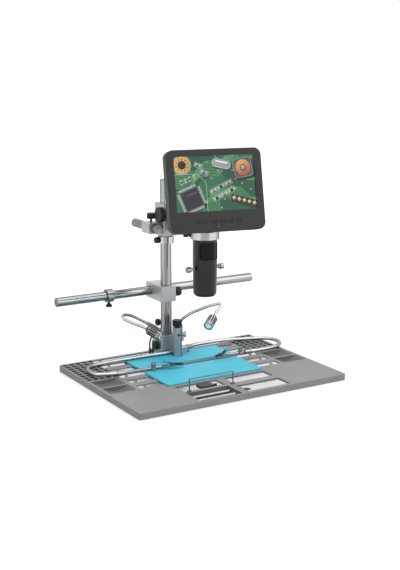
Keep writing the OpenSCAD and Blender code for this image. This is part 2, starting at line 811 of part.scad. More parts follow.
module camera_boards() {
  translate([0, axis_y, 0]) {
    color(green) {
      difference() {
        rod_z(0, 0, 158, 159.6, 34);
        rod_z(0, 0, 150, 165, 18);
      }
      difference() {
        rod_z(0, 0, 262, 263.6, 34);
        rod_z(0, 0, 260, 270, 3);
      }
    }
    color(glass) for (i = [0:7]) rotate(i * 45) translate([11.5, 0, 156.4]) cylinder(d = 3, h = 1.7);
    color(dark) box([-6, -6, 258.5], [6, 6, 262.1]);
  }
}

// chrome screw on the side of the barrel, along +Z
module lock_screw() {
  cylinder(d = 3.9, h = 8);
  translate([0, 0, 7.9]) cylinder(d = 6.5, h = 3.1);
  translate([0, 0, 11]) cylinder(d = 10, h = 6.4);
}

module lens_lock_left() {
  color(chrome) translate([-18, axis_y, lock_z]) rotate([0, -90, 0]) lock_screw();
}

module lens_lock_right() {
  color(chrome) translate([18, axis_y, lock_z]) rotate([0, 90, 0]) lock_screw();
}

// ------------------------------------------------------------------ screen

// moves its children from the swivel frame to the stand
module swivel_frame() {
  translate([0, axis_y, 0]) rotate([0, 0, -screen_turn]) children();
}

// moves its children from the screen's own frame to the stand
module screen_frame() {
  swivel_frame() translate([0, -pivot_out, pivot_z]) rotate([-screen_tilt, 0, 0])
    translate([0, -piv_y, -piv_z]) children();
}

mid_z = top_in - screen_h / 2; // middle of the housing above the display middle

// housing slice between two depths
module slab(y0, y1, w, h, r) {
  translate([0, y1, mid_z]) rotate([90, 0, 0]) linear_extrude(y1 - y0) plate2(w, h, r);
}

// turning neck on the barrel, with the pin that the screen tilts on
module swivel_neck() {
  color(dark) swivel_frame() {
    rod_z(0, 0, barrel_top - 4, barrel_top + 0.5, 10);
    rod_z(0, 0, barrel_top + 0.3, barrel_top + 7, 34);
    box([-8, -pivot_out - 6, barrel_top + 5], [8, 4, pivot_z - 4]);
    rod_x(-8, 8, -pivot_out, pivot_z, 13);
    box([-8, -pivot_out - 6.5, barrel_top + 5], [8, -pivot_out + 6.5, pivot_z]);
  }
  color(chrome) swivel_frame() {
    rod_x(-16, 16, -pivot_out, pivot_z, 5);
    for (s = [-1, 1]) rod_x(s > 0 ? 15 : -17, s > 0 ? 17 : -15, -pivot_out, pivot_z, 9);
  }
}

module screen_bezel() {
  color(dark) screen_frame() difference() {
    union() {
      slab(0.8, front_t, screen_w, screen_h, 12);
      slab(0, 0.81, screen_w - 1.6, screen_h - 1.6, 11.2);
    }
    slab(2.4, front_t + 1, screen_w - 2 * wall, screen_h - 2 * wall, 9.5);
    translate([0, 10, 0]) rotate([90, 0, 0]) linear_extrude(20) square([lcd_w, lcd_h], center = true);
    for (x = btn_x) translate([x, 10, btn_z]) rotate([90, 0, 0]) linear_extrude(20) plate2(9.4, 4.4, 1.5);
    translate([2, 10, slot_z]) rotate([90, 0, 0]) linear_extrude(20) square([6.2, 2.8], center = true);
  }
}

module screen_back() {
  color(dark) screen_frame() difference() {
    union() {
      slab(front_t, back_t - 4, screen_w, screen_h, 12);
      slab(back_t - 4.01, back_t, screen_w - 8, screen_h - 8, 9);
      translate([0, 30, piv_z]) rotate([90, 0, 0]) linear_extrude(9) plate2(92, 74, 8);
    }
    slab(front_t - 1, back_t - 6.4, screen_w - 2 * wall, screen_h - 2 * wall, 9.5);
    slab(front_t - 1, back_t - 2.4, screen_w - 8 - 2 * wall, screen_h - 8 - 2 * wall, 7);
    translate([0, 27.6, piv_z]) rotate([90, 0, 0]) linear_extrude(9) plate2(87, 69, 6);
    for (i = [-5:5]) box([i * 6 - 1.2, 18, 38], [i * 6 + 1.2, 24, 48]);
    for (x = [-58, -46]) box([x, 12, mid_z - screen_h / 2 - 1], [x + 8, 16, mid_z - screen_h / 2 + 6]);
  }
}

module screen_inside() {
  screen_frame() {
    color(glass) box([-lcd_w / 2 - 3, 2.4, -lcd_h / 2 - 3], [lcd_w / 2 + 3, 3.6, lcd_h / 2 + 3]);
    color(steel) box([-lcd_w / 2 - 3, 3.6, -lcd_h / 2 - 3], [lcd_w / 2 + 3, 8.4, lcd_h / 2 + 3]);
    color(green) {
      box([-48, 12, -60], [48, 13.6, 30]);
      box([-42, 6, low_z + wall + 1], [42, 7.6, btn_z + 4]);
    }
    color(dark) {
      box([-30, 13.5, -20], [-12, 16, -2]);
      box([6, 13.5, -26], [30, 17, -8]);
      box([-1, 2.2, slot_z - 1.2], [5, 6.1, slot_z + 1.2]);
    }
    color(steel) for (x = [-40, 40], z = [-50, 22]) {
      translate([x, back_t - 2.4, z]) rotate([90, 0, 0]) cylinder(d = 4, h = back_t - 2.4 - 8.3);
    }
  }
}

// push button number i, with a collar that keeps it behind the bezel
module button(i) {
  color(black) screen_frame() translate([btn_x[i], 0, btn_z]) rotate([90, 0, 0]) {
    translate([0, 0, -4.9]) linear_extrude(5.2) plate2(9, 4, 1.3);
    translate([0, 0, -4.9]) linear_extrude(1) plate2(11, 6, 1.3);
  }
}

module button_1() { button(0); }

module button_2() { button(1); }

module button_3() { button(2); }

module button_4() { button(3); }

module button_5() { button(4); }

module button_6() { button(5); }

module screen_bracket() {
  color(dark) screen_frame() difference() {
    union() {
      translate([0, 32.5, piv_z]) rotate([90, 0, 0]) linear_extrude(2.5) plate2(40, 30, 3);
      for (s = [-1, 1]) {
        translate([s > 0 ? 8.5 : -14.5, 0, 0]) {
          box([0, 31, piv_z - 7], [6, piv_y, piv_z + 7]);
          rod_x(0, 6, piv_y, piv_z, 14);
        }
      }
    }
    rod_x(-20, 20, piv_y, piv_z, 5 + 2 * fit);
  }
}

base_left_half();
base_right_half();
base_feet();
cross_rails();
rail_screws();
tray_plates();
tray_tools();
back_mat();
front_mat();
socket_block();
socket_knob();
column_tube();
front_post();
post_knob();
post_thumb_screw();
lamp_bracket();
bracket_knob();
lamp_leads();
lamp_necks();
lamp_heads();
arm_hub();
left_flex_arm();
right_flex_arm();
clip_rods();
left_clip_screw();
right_clip_screw();
left_clip_jaw();
right_clip_jaw();
wire_rest();
boom_clamp();
boom_clamp_knob();
boom_bar();
boom_collar();
boom_collar_knob();
stop_collar();
stop_collar_knob();
carriage();
carriage_lock_knob();
side_rod();
side_rod_knob();
focus_knobs();
focus_slide();
ring_screw();
barrel();
focus_wheel();
lens_cell();
camera_boards();
lens_lock_left();
lens_lock_right();
swivel_neck();
screen_bezel();
screen_back();
screen_inside();
screen_bracket();
button_1();
button_2();
button_3();
button_4();
button_5();
button_6();
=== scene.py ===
"""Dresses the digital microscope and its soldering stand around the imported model."""
import logging
import math
from dataclasses import dataclass, field
from enum import Enum
from typing import Callable, Sequence

import bmesh
import bpy
from mathutils import Matrix, Vector


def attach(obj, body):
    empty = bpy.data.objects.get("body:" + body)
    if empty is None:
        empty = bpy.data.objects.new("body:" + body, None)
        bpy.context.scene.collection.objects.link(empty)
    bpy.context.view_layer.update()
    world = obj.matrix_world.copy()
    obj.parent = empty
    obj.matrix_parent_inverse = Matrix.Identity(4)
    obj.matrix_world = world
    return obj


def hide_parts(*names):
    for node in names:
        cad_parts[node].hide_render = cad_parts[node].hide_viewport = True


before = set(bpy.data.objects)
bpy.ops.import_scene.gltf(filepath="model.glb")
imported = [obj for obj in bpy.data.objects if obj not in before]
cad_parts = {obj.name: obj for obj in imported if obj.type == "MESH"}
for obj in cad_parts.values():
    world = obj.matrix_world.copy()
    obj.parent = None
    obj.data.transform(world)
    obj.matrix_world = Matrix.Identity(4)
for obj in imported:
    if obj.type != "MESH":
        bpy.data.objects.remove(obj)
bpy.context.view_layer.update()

MM = 0.001
LOG = logging.getLogger("bench")
Point = Sequence[float]
Colour = tuple[float, float, float]
Output = tuple[bpy.types.Node, str | int]
Outline = Sequence[tuple[float, float]]


# ------------------------------------------------------------- shared helpers

def cos_sin(turn: float) -> tuple[float, float]:
    """Returns cosine and sine of an angle in degrees."""
    return math.cos(math.radians(turn)), math.sin(math.radians(turn))


def put(name: str, data: bpy.types.ID) -> bpy.types.Object:
    """Makes an object around its data and links it into the scene.

    Args:
        name: name of the object.
        data: its mesh, light or camera.

    Returns:
        The new object.
    """
    obj = bpy.data.objects.new(name, data)
    bpy.context.scene.collection.objects.link(obj)
    return obj


def add_modifier(obj: bpy.types.Object, name: str, kind: str, **settings: object) -> None:
    """Adds a modifier with its settings.

    Args:
        obj: the object that receives it.
        name: name of the modifier.
        kind: its type.
        settings: its own properties.
    """
    modifier = obj.modifiers.new(name, kind)
    for key, value in settings.items():
        setattr(modifier, key, value)


def add_node(tree: bpy.types.NodeTree, kind: str, values: dict | None = None,
             **settings: object) -> bpy.types.Node:
    """Adds a shader node.

    Args:
        tree: the nodes that receive it.
        kind: its type, without "ShaderNode" in front.
        values: constants of its input sockets, by name or number.
        settings: its own properties, such as the operation.

    Returns:
        The new node.
    """
    node = tree.nodes.new("ShaderNode" + kind)
    for key, value in settings.items():
        setattr(node, key, value)
    for key, value in (values or {}).items():
        node.inputs[key].default_value = value
    return node


def wire(tree: bpy.types.NodeTree, *links: tuple) -> None:
    """Makes links, each given by its node, output, node and input."""
    for source, output, target, socket in links:
        tree.links.new(source.outputs[output], target.inputs[socket])


# --------------------------------------------------------------- node effects

class Effects:
    """Shared surface effects, each built once as a node group."""

    _made: dict[str, bpy.types.NodeTree] = {}

    @classmethod
    def get(cls, name: str) -> bpy.types.NodeTree:
        """Returns the named effect, building it on first use.

        Args:
            name: name of the effect.

        Returns:
            Its node group.
        """
        if name not in cls._made:
            cls._made[name] = getattr(cls, "_" + name)()
        return cls._made[name]

    @staticmethod
    def _group(name: str, inputs: dict[str, object], outputs: dict[str, str]) -> tuple:
        """Makes an empty node group: a vector comes in, with some numbers.

        Args:
            name: name of the group.
            inputs: default of each further input, by name.
            outputs: kind of each output, Float or Vector, by name.

        Returns:
            The group, its input node and its output node.
        """
        tree = bpy.data.node_groups.new(name, "ShaderNodeTree")
        tree.interface.new_socket("Vector", in_out="INPUT", socket_type="NodeSocketVector")
        for label, value in inputs.items():
            kind = "Vector" if isinstance(value, tuple) else "Float"
            socket = tree.interface.new_socket(label, in_out="INPUT",
                                               socket_type="NodeSocket" + kind)
            socket.default_value = value
        for label, kind in outputs.items():
            tree.interface.new_socket(label, in_out="OUTPUT", socket_type="NodeSocket" + kind)
        return tree, tree.nodes.new("NodeGroupInput"), tree.nodes.new("NodeGroupOutput")

    @classmethod
    def _grain(cls) -> bpy.types.NodeTree:
        """Fine moulded grain with slow colour drift over it.

        Returns:
            The node group.
        """
        tree, gin, gout = cls._group("grain", {"Scale": 900.0, "Drift Scale": 14.0},
                                     {"Mask": "Float", "Height": "Float"})
        fine = add_node(tree, "TexNoise", {"Detail": 3.0})
        cells = add_node(tree, "TexVoronoi")
        drift = add_node(tree, "TexNoise", {"Detail": 4.0})
        add = add_node(tree, "Math", {1: 0.6}, operation="MULTIPLY_ADD")
        mix = add_node(tree, "Math", {1: 0.35}, operation="MULTIPLY_ADD")
        for node in (fine, cells, drift):
            wire(tree, (gin, "Vector", node, "Vector"))
        wire(tree, (gin, "Scale", fine, "Scale"), (gin, "Scale", cells, "Scale"),
             (gin, "Drift Scale", drift, "Scale"), (cells, "Distance", add, 0),
             (fine, "Fac", add, 2), (fine, "Fac", mix, 0), (drift, "Fac", mix, 2),
             (mix, 0, gout, "Mask"), (add, 0, gout, "Height"))
        return tree

    @classmethod
    def _brushed(cls) -> bpy.types.NodeTree:
        """Lines of a brushed or drawn metal, along the direction with a small stretch.

        Returns:
            The node group.
        """
        tree, gin, gout = cls._group("brushed", {"Stretch": (1.0, 1.0, 1.0), "Scale": 400.0},
                                     {"Mask": "Float", "Height": "Float"})
        spread = add_node(tree, "VectorMath", operation="MULTIPLY")
        lines = add_node(tree, "TexNoise", {"Detail": 5.0})
        smear = add_node(tree, "TexNoise", {"Scale": 22.0})
        both = add_node(tree, "Math", {1: 0.6}, operation="MULTIPLY_ADD")
        half = add_node(tree, "Math", {1: 0.4}, operation="MULTIPLY")
        wire(tree, (gin, "Vector", spread, 0), (gin, "Stretch", spread, 1),
             (spread, 0, lines, "Vector"), (gin, "Scale", lines, "Scale"),
             (gin, "Vector", smear, "Vector"), (smear, "Fac", half, 0),
             (lines, "Fac", both, 0), (half, 0, both, 2),
             (both, 0, gout, "Mask"), (lines, "Fac", gout, "Height"))
        return tree

    @classmethod
    def _edge_rub_and_sheen(cls) -> bpy.types.NodeTree:
        """Mask of the edges, broken up by noise, where a finish paints rubbed wear and a painted
        edge highlight, and the rounded normal.

        Returns:
            The node group.
        """
        tree, gin, gout = cls._group("edge_rub_and_sheen", {"Radius": 0.0008},
                                     {"Mask": "Float", "Normal": "Vector"})
        bevel = add_node(tree, "Bevel", samples=4)
        geometry = add_node(tree, "NewGeometry")
        dot = add_node(tree, "VectorMath", operation="DOT_PRODUCT")
        edge = add_node(tree, "MapRange", {"From Min": 0.995, "From Max": 0.80})
        noise = add_node(tree, "TexNoise", {"Scale": 160.0})
        times = add_node(tree, "Math", operation="MULTIPLY")
        wire(tree, (gin, "Radius", bevel, "Radius"), (bevel, "Normal", dot, 0),
             (geometry, "Normal", dot, 1), (dot, "Value", edge, "Value"),
             (gin, "Vector", noise, "Vector"), (edge, "Result", times, 0),
             (noise, "Fac", times, 1), (times, 0, gout, "Mask"),
             (bevel, "Normal", gout, "Normal"))
        return tree


# ------------------------------------------------------------------- finishes

class Texture(Enum):
    """What covers a surface."""

    GRAIN = "grain"
    BRUSHED = "brushed"


@dataclass(frozen=True)
class Finish:
    """One finish of the object, with everything that its material needs."""

    name: str
    colour: Colour
    shade: Colour
    rough: tuple[float, float] = (0.4, 0.5)
    metallic: float = 0.0
    texture: Texture = Texture.GRAIN
    scale: float = 900.0
    stretch: Point = (1.0, 1.0, 1.0)
    bump: float = 0.15
    coat: float = 0.0
    # colour at the edges: partly real rubbed wear, partly a painted edge highlight
    worn_and_sheen: Colour | None = None
    edge: float = 0.0005
    # facing and level of a ramp that paints reflection bands and rim shade into the colour
    painted_bands: Sequence[tuple[float, float]] = ()
    specular: float = 0.5
    glow: float = 0.0
    lit: float = 1.0

    def paint_view_bands(self, tree: bpy.types.NodeTree, colour: Output) -> Output:
        """Paints reflection bands and shade into a colour by how far the surface turns from the
        view: a painted highlight band and painted dark rims.

        Args:
            tree: the material's nodes.
            colour: the colour so far.

        Returns:
            The darkened colour.
        """
        facing = add_node(tree, "LayerWeight")
        ramp = add_node(tree, "ValToRGB")
        ramp.color_ramp.interpolation = "EASE"
        stops = ramp.color_ramp.elements
        while len(stops) < len(self.painted_bands):
            stops.new(0.5)
        for stop, (place, level) in zip(stops, self.painted_bands):
            stop.position = place
            stop.color = (level, level, level, 1.0)
        times = add_node(tree, "Mix", {"Factor": 1.0}, data_type="RGBA", blend_type="MULTIPLY")
        wire(tree, (facing, "Facing", ramp, "Fac"), (*colour, times, "A"),
             (ramp, "Color", times, "B"))
        return times, "Result"

    def material(self) -> bpy.types.Material:
        """Returns this finish's material, building it on first use.

        Returns:
            The material.
        """
        label = "look_" + self.name
        found = bpy.data.materials.get(label)
        if found:
            return found
        mat = bpy.data.materials.new(label)
        mat.use_nodes = True
        mat.diffuse_color = (*self.colour, 1.0)
        tree = mat.node_tree
        shader = tree.nodes["Principled BSDF"]
        coord = add_node(tree, "TexCoord")
        values = {"Scale": self.scale}
        if self.texture is Texture.BRUSHED:
            values["Stretch"] = tuple(self.stretch)
        effect = add_node(tree, "Group", values, node_tree=Effects.get(self.texture.value))
        wear_and_sheen = add_node(tree, "Group", {"Radius": self.edge}, node_tree=Effects.get("edge_rub_and_sheen"))
        tint = add_node(tree, "Mix", {"A": (*self.colour, 1.0), "B": (*self.shade, 1.0)},
                        data_type="RGBA")
        spread = add_node(tree, "MapRange", {"From Min": 0.35, "From Max": 0.95})
        rough = add_node(tree, "MapRange", {"From Min": 0.3, "From Max": 1.0,
                                            "To Min": self.rough[0], "To Max": self.rough[1]})
        bump = add_node(tree, "Bump", {"Strength": self.bump, "Distance": 0.0001})
        wire(tree, (coord, "Object", effect, "Vector"), (coord, "Object", wear_and_sheen, "Vector"),
             (effect, "Mask", spread, "Value"), (spread, "Result", tint, "Factor"),
             (effect, "Mask", rough, "Value"), (rough, "Result", shader, "Roughness"),
             (effect, "Height", bump, "Height"), (wear_and_sheen, "Normal", bump, "Normal"),
             (bump, "Normal", shader, "Normal"))
        colour: Output = (tint, "Result")
        # edges: real rubbed wear and a painted edge highlight
        if self.worn_and_sheen:
            rub_and_sheen = add_node(tree, "Mix", {"B": (*self.worn_and_sheen, 1.0)}, data_type="RGBA")
            wire(tree, (wear_and_sheen, "Mask", rub_and_sheen, "Factor"), (*colour, rub_and_sheen, "A"))
            colour = (rub_and_sheen, "Result")
        # painted reflection bands and painted rim shade
        if self.painted_bands:
            colour = self.paint_view_bands(tree, colour)
        if self.glow > 0.0:
            wire(tree, (*colour, shader, "Emission Color"))
            shader.inputs["Emission Strength"].default_value = self.glow
        if self.lit < 1.0:
            dim = add_node(tree, "VectorMath", operation="SCALE")
            dim.inputs["Scale"].default_value = self.lit
            wire(tree, (*colour, dim, 0))
            colour = (dim, 0)
        wire(tree, (*colour, shader, "Base Color"))
        shader.inputs["Metallic"].default_value = self.metallic
        shader.inputs["Specular IOR Level"].default_value = self.specular
        shader.inputs["Coat Weight"].default_value = self.coat
        return mat


class Finishes:
    """Every finish of the object, named for what it covers."""

    # painted highlight band and painted dark rims of polished tubes, by facing
    TUBE_SHEEN_AND_SHADE = ((0.0, 0.50), (0.03, 0.56), (0.10, 1.0), (0.30, 0.95), (0.52, 0.45), (0.72, 0.13))
    # painted shade towards the rims of round parts, by facing
    ROUND_RIM_SHADE = ((0.0, 1.0), (0.25, 0.92), (0.5, 0.6), (0.75, 0.25))

    BASE = Finish("base_moulding", (0.31, 0.312, 0.313), (0.262, 0.264, 0.266), (0.46, 0.60),
                  scale=700, bump=0.30, worn_and_sheen=(0.38, 0.38, 0.385), edge=0.0007, specular=0.35)
    # darker grey in the base's cells and trays: painted shade in the recesses
    RECESS = Finish("base_recess_shade", (0.185, 0.187, 0.19), (0.145, 0.147, 0.15), (0.55, 0.7),
                    scale=700, bump=0.30, worn_and_sheen=(0.2, 0.2, 0.205), edge=0.0005, specular=0.3)
    MAT = Finish("silicone_mat", (0.10, 0.65, 0.84), (0.065, 0.56, 0.75), (0.45, 0.6),
                 scale=420, bump=0.25, worn_and_sheen=(0.16, 0.60, 0.78), edge=0.0007, specular=0.35)
    RAIL = Finish("polished_rail", (0.56, 0.565, 0.57), (0.40, 0.405, 0.41), (0.22, 0.36), 0.95,
                  Texture.BRUSHED, 2600, (0.03, 1.0, 1.0), 0.02)
    CHROME_Z = Finish("chrome_upright", (0.37, 0.38, 0.39), (0.28, 0.29, 0.30), (0.14, 0.24), 1.0,
                      Texture.BRUSHED, 1500, (1.0, 1.0, 0.04), 0.0, painted_bands=TUBE_SHEEN_AND_SHADE)
    CHROME_X = Finish("chrome_cross", (0.37, 0.38, 0.39), (0.28, 0.29, 0.30), (0.14, 0.24), 1.0,
                      Texture.BRUSHED, 1500, (0.04, 1.0, 1.0), 0.0, painted_bands=TUBE_SHEEN_AND_SHADE)
    CHROME_Y = Finish("alloy_side_rod", (0.36, 0.37, 0.38), (0.27, 0.28, 0.29), (0.26, 0.38), 0.9,
                      Texture.BRUSHED, 320, (1.0, 0.04, 1.0), 0.05, painted_bands=ROUND_RIM_SHADE)
    POST = Finish("satin_post", (0.42, 0.445, 0.46), (0.33, 0.35, 0.365), (0.30, 0.42), 0.7,
                  Texture.BRUSHED, 320, (1.0, 1.0, 0.04), 0.05, worn_and_sheen=(0.6, 0.61, 0.62), painted_bands=ROUND_RIM_SHADE)
    ALLOY = Finish("satin_alloy", (0.48, 0.49, 0.50), (0.37, 0.38, 0.39), (0.36, 0.50), 0.6,
                   Texture.BRUSHED, 700, (1.0, 1.0, 0.12), 0.06, worn_and_sheen=(0.66, 0.67, 0.68),
                   edge=0.0009)
    RING = Finish("turned_ring", (0.56, 0.56, 0.57), (0.38, 0.383, 0.39), (0.2, 0.34), 1.0,
                  Texture.BRUSHED, 900, (0.2, 0.2, 1.0), 0.06, worn_and_sheen=(0.8, 0.8, 0.81), painted_bands=TUBE_SHEEN_AND_SHADE)
    SCREW = Finish("screw_steel", (0.38, 0.385, 0.395), (0.25, 0.255, 0.265), (0.26, 0.40), 0.9,
                   Texture.BRUSHED, 900, (1.0, 1.0, 0.4), 0.05, worn_and_sheen=(0.33, 0.33, 0.34),
                   painted_bands=ROUND_RIM_SHADE)
    WIRE = Finish("rest_wire", (0.20, 0.205, 0.215), (0.13, 0.135, 0.145), (0.25, 0.4), 0.9,
                  Texture.BRUSHED, 900, (0.05, 1.0, 1.0), 0.0, painted_bands=ROUND_RIM_SHADE)
    FLEX = Finish("flex_steel", (0.59, 0.595, 0.605), (0.37, 0.375, 0.385), (0.2, 0.34), 1.0,
                  Texture.BRUSHED, 500, (1.0, 1.0, 1.0), 0.08, painted_bands=ROUND_RIM_SHADE)
    KNOB = Finish("knob_plastic", (0.010, 0.010, 0.011), (0.018, 0.018, 0.019), (0.36, 0.5),
                  scale=1400, bump=0.2, worn_and_sheen=(0.06, 0.06, 0.062), edge=0.0005, specular=0.3)
    BARREL = Finish("barrel_plastic", (0.0055, 0.0055, 0.006), (0.010, 0.010, 0.011), (0.24, 0.34),
                    scale=2200, bump=0.05, worn_and_sheen=(0.045, 0.045, 0.047), edge=0.0008, specular=0.33)
    WHEEL = Finish("focus_wheel_rubber", (0.004, 0.004, 0.0042), (0.007, 0.007, 0.0074),
                   (0.34, 0.5), scale=1800, bump=0.1, specular=0.16)
    HOUSING = Finish("screen_housing", (0.019, 0.0192, 0.0197), (0.027, 0.027, 0.028), (0.38, 0.5),
                     scale=1500, bump=0.12, worn_and_sheen=(0.10, 0.10, 0.102), edge=0.0011, specular=0.3)
    BUTTON = Finish("screen_button", (0.009, 0.009, 0.0095), (0.014, 0.014, 0.0145), (0.4, 0.52),
                    scale=1500, bump=0.12, worn_and_sheen=(0.07, 0.07, 0.072), edge=0.0005, specular=0.3)
    SHELL = Finish("screen_shell", (0.009, 0.009, 0.0095), (0.015, 0.015, 0.016), (0.4, 0.55),
                   scale=1300, bump=0.15, worn_and_sheen=(0.05, 0.05, 0.052), edge=0.001, specular=0.3)
    RUBBER = Finish("foot_rubber", (0.02, 0.02, 0.021), (0.032, 0.032, 0.033), (0.7, 0.85),
                    scale=900, bump=0.3)
    LEAD = Finish("lead_sleeve", (0.10, 0.105, 0.11), (0.06, 0.063, 0.066), (0.4, 0.55), scale=1200)
    SLEEVE = Finish("clip_sleeve", (0.05, 0.45, 0.75), (0.035, 0.36, 0.62), (0.35, 0.5), scale=1100,
                    worn_and_sheen=(0.2, 0.6, 0.85))
    BOARD = Finish("board_green", (0.02, 0.14, 0.06), (0.015, 0.10, 0.045), (0.35, 0.5), scale=600)
    GLASS = Finish("display_cover", (0.01, 0.012, 0.012), (0.014, 0.016, 0.016), (0.06, 0.1),
                   scale=2000, bump=0.0, coat=0.4)
    LAMP_FACE = Finish("lamp_face", (0.25, 0.56, 0.62), (0.13, 0.40, 0.47), (0.15, 0.3), scale=700,
                       coat=0.6, glow=0.25)
    LAMP_CHIP = Finish("lamp_chip", (0.85, 0.93, 0.95), (0.7, 0.85, 0.9), (0.2, 0.3), scale=900,
                       glow=0.9)


# ---------------------------------------------------------------- mesh making

class Maker:
    """Turns outlines, profiles and routes into mesh objects, in millimetres."""

    ROUTE_STEPS = 24                     # steps of a route between two of its points
    GROOVE = (1.0, 0.35, 0.0, 0.35)      # share of the groove's depth at the rings of a rib
    FIRST_SIDE = Vector((0.3, 0.2, 1.0))  # fixes where the rings of a route start

    @staticmethod
    def data(name: str, bm: bmesh.types.BMesh, finishes: Sequence[Finish] = ()) -> bpy.types.Mesh:
        """Turns a working mesh into mesh data with its finishes, and frees it.

        Args:
            name: name of the mesh.
            bm: the working mesh.
            finishes: its finishes, in the order of its material slots.

        Returns:
            The mesh data.
        """
        mesh = bpy.data.meshes.new(name)
        bm.to_mesh(mesh)
        bm.free()
        for finish in finishes:
            mesh.materials.append(finish.material())
        return mesh

    @classmethod
    def finish(cls, name: str, bm: bmesh.types.BMesh, place: Matrix, finishes: Sequence[Finish],
               angle: float = 35.0) -> bpy.types.Object:
        """Closes a mesh and puts it into the scene, in metres.

        Args:
            name: name of the piece.
            bm: the mesh, in millimetres.
            place: where its own frame stands, in millimetres.
            finishes: its finishes, in the order of its material slots.
            angle: edges sharper than this stay hard, in degrees.

        Returns:
            The new object.
        """
        bmesh.ops.transform(bm, matrix=Matrix.Scale(MM, 4) @ place, verts=bm.verts)
        bmesh.ops.recalc_face_normals(bm, faces=bm.faces)
        limit = math.radians(angle)
        for face in bm.faces:
            face.smooth = True
        for edge in bm.edges:
            if len(edge.link_faces) != 2 or edge.calc_face_angle(0.0) > limit:
                edge.smooth = False
        return put(name, cls.data(name, bm, finishes))

    @classmethod
    def merge(cls, bm: bmesh.types.BMesh, part: bmesh.types.BMesh, place: Matrix) -> None:
        """Moves a working mesh to its place and adds it to another one.

        Args:
            bm: the mesh that receives the part.
            part: the part, which is freed.
            place: where the part goes.
        """
        bmesh.ops.transform(part, matrix=place, verts=part.verts)
        mesh = cls.data("part", part)
        bm.from_mesh(mesh)
        bpy.data.meshes.remove(mesh)

    @staticmethod
    def loft(bm: bmesh.types.BMesh, rings: Sequence[Sequence[Vector]],
             slots: Sequence[int] = ()) -> None:
        """Joins closed rings of equal length with faces, and closes both ends.

        Args:
            bm: the mesh that receives the faces.
            rings: the rings in order.
            slots: material slot of each stretch, the first slot where none is given.
        """
        rows = [[bm.verts.new(p) for p in ring] for ring in rings]
        count = len(rows[0])
        for i in range(len(rows) - 1):
            for k in range(count):
                face = bm.faces.new((rows[i][k], rows[i][(k + 1) % count],
                                     rows[i + 1][(k + 1) % count], rows[i + 1][k]))
                face.material_index = slots[i] if i < len(slots) else 0
        bm.faces.new(rows[0][::-1]).material_index = slots[0] if slots else 0
        bm.faces.new(rows[-1]).material_index = slots[-1] if slots else 0

    @classmethod
    def lathe(cls, bm: bmesh.types.BMesh, profile: Outline, sides: int = 48,
              slots: Sequence[int] = (),
              flute: Callable[[float, int], float] | None = None) -> None:
        """Turns a profile of radius and height about +Z.

        Args:
            bm: the mesh that receives the faces.
            profile: radius and height of each ring.
            sides: steps round the axis.
            slots: material slot of each stretch.
            flute: gives the change of radius for an angle and a ring number.
        """
        rings = []
        for i, (radius, height) in enumerate(profile):
            ring = []
            for k in range(sides):
                angle = k * math.tau / sides
                r = radius + (flute(angle, i) if flute else 0.0)
                ring.append(Vector((r * math.cos(angle), r * math.sin(angle), height)))
            rings.append(ring)
        cls.loft(bm, rings, slots)

    @staticmethod
    def curve(points: Sequence[Point], steps: int) -> list[Vector]:
        """Returns a smooth route through all points, with that many steps a stretch.

        Args:
            points: the points in order.
            steps: steps from one point to the next.

        Returns:
            The points of the route.
        """
        p = [Vector(q) for q in points]
        out = []
        for i in range(len(p) - 1):
            a, b, c, d = p[max(i - 1, 0)], p[i], p[i + 1], p[min(i + 2, len(p) - 1)]
            for k in range(steps):
                t = k / steps
                out.append(0.5 * (2 * b + (c - a) * t + (2 * a - 5 * b + 4 * c - d) * t * t
                                  + (3 * b - a - 3 * c + d) * t ** 3))
        out.append(p[-1])
        return out

    @classmethod
    def ribbed(cls, bm: bmesh.types.BMesh, points: Sequence[Point], diameter: float, pitch: float,
               depth: float, sides: int = 14) -> None:
        """Sweeps a ribbed round tube along a route.

        Args:
            bm: the mesh that receives the faces.
            points: the route in millimetres.
            diameter: outside diameter.
            pitch: length of one rib.
            depth: depth of the groove between two ribs.
            sides: steps round the tube.
        """
        dense = cls.curve(points, cls.ROUTE_STEPS)
        length = [0.0]
        for a, b in zip(dense, dense[1:]):
            length.append(length[-1] + (b - a).length)
        steps = len(cls.GROOVE)
        count = max(2, int(length[-1] / pitch)) * steps
        samples, j = [], 0
        for i in range(count + 1):
            want = length[-1] * i / count
            while j < len(dense) - 2 and length[j + 1] < want:
                j += 1
            span = max(length[j + 1] - length[j], 1e-9)
            samples.append(dense[j].lerp(dense[j + 1], min(1.0, (want - length[j]) / span)))
        rings = []
        side = None
        for i, p in enumerate(samples):
            along = (samples[min(i + 1, count)] - samples[max(i - 1, 0)]).normalized()
            if side is None:
                side = along.cross(cls.FIRST_SIDE).normalized()
            side = (side - along * side.dot(along)).normalized()
            up = along.cross(side)
            r = diameter / 2 - depth * cls.GROOVE[i % steps]
            rings.append([p + r * (math.cos(k * math.tau / sides) * side
                                   + math.sin(k * math.tau / sides) * up) for k in range(sides)])
        cls.loft(bm, rings)

    @classmethod
    def prism(cls, bm: bmesh.types.BMesh, outline: Outline, half: float) -> None:
        """Extrudes an outline of X and Z along Y, by half to both sides."""
        cls.loft(bm, [[Vector((x, y, z)) for x, z in outline] for y in (-half, half)])

    @staticmethod
    def aim(origin: Point, direction: Point) -> Matrix:
        """Returns the matrix that puts +Z onto a direction at a point."""
        turn = Vector(direction).normalized().to_track_quat("Z", "Y").to_matrix().to_4x4()
        return Matrix.Translation(origin) @ turn


# ------------------------------------------------------------- sub-assemblies

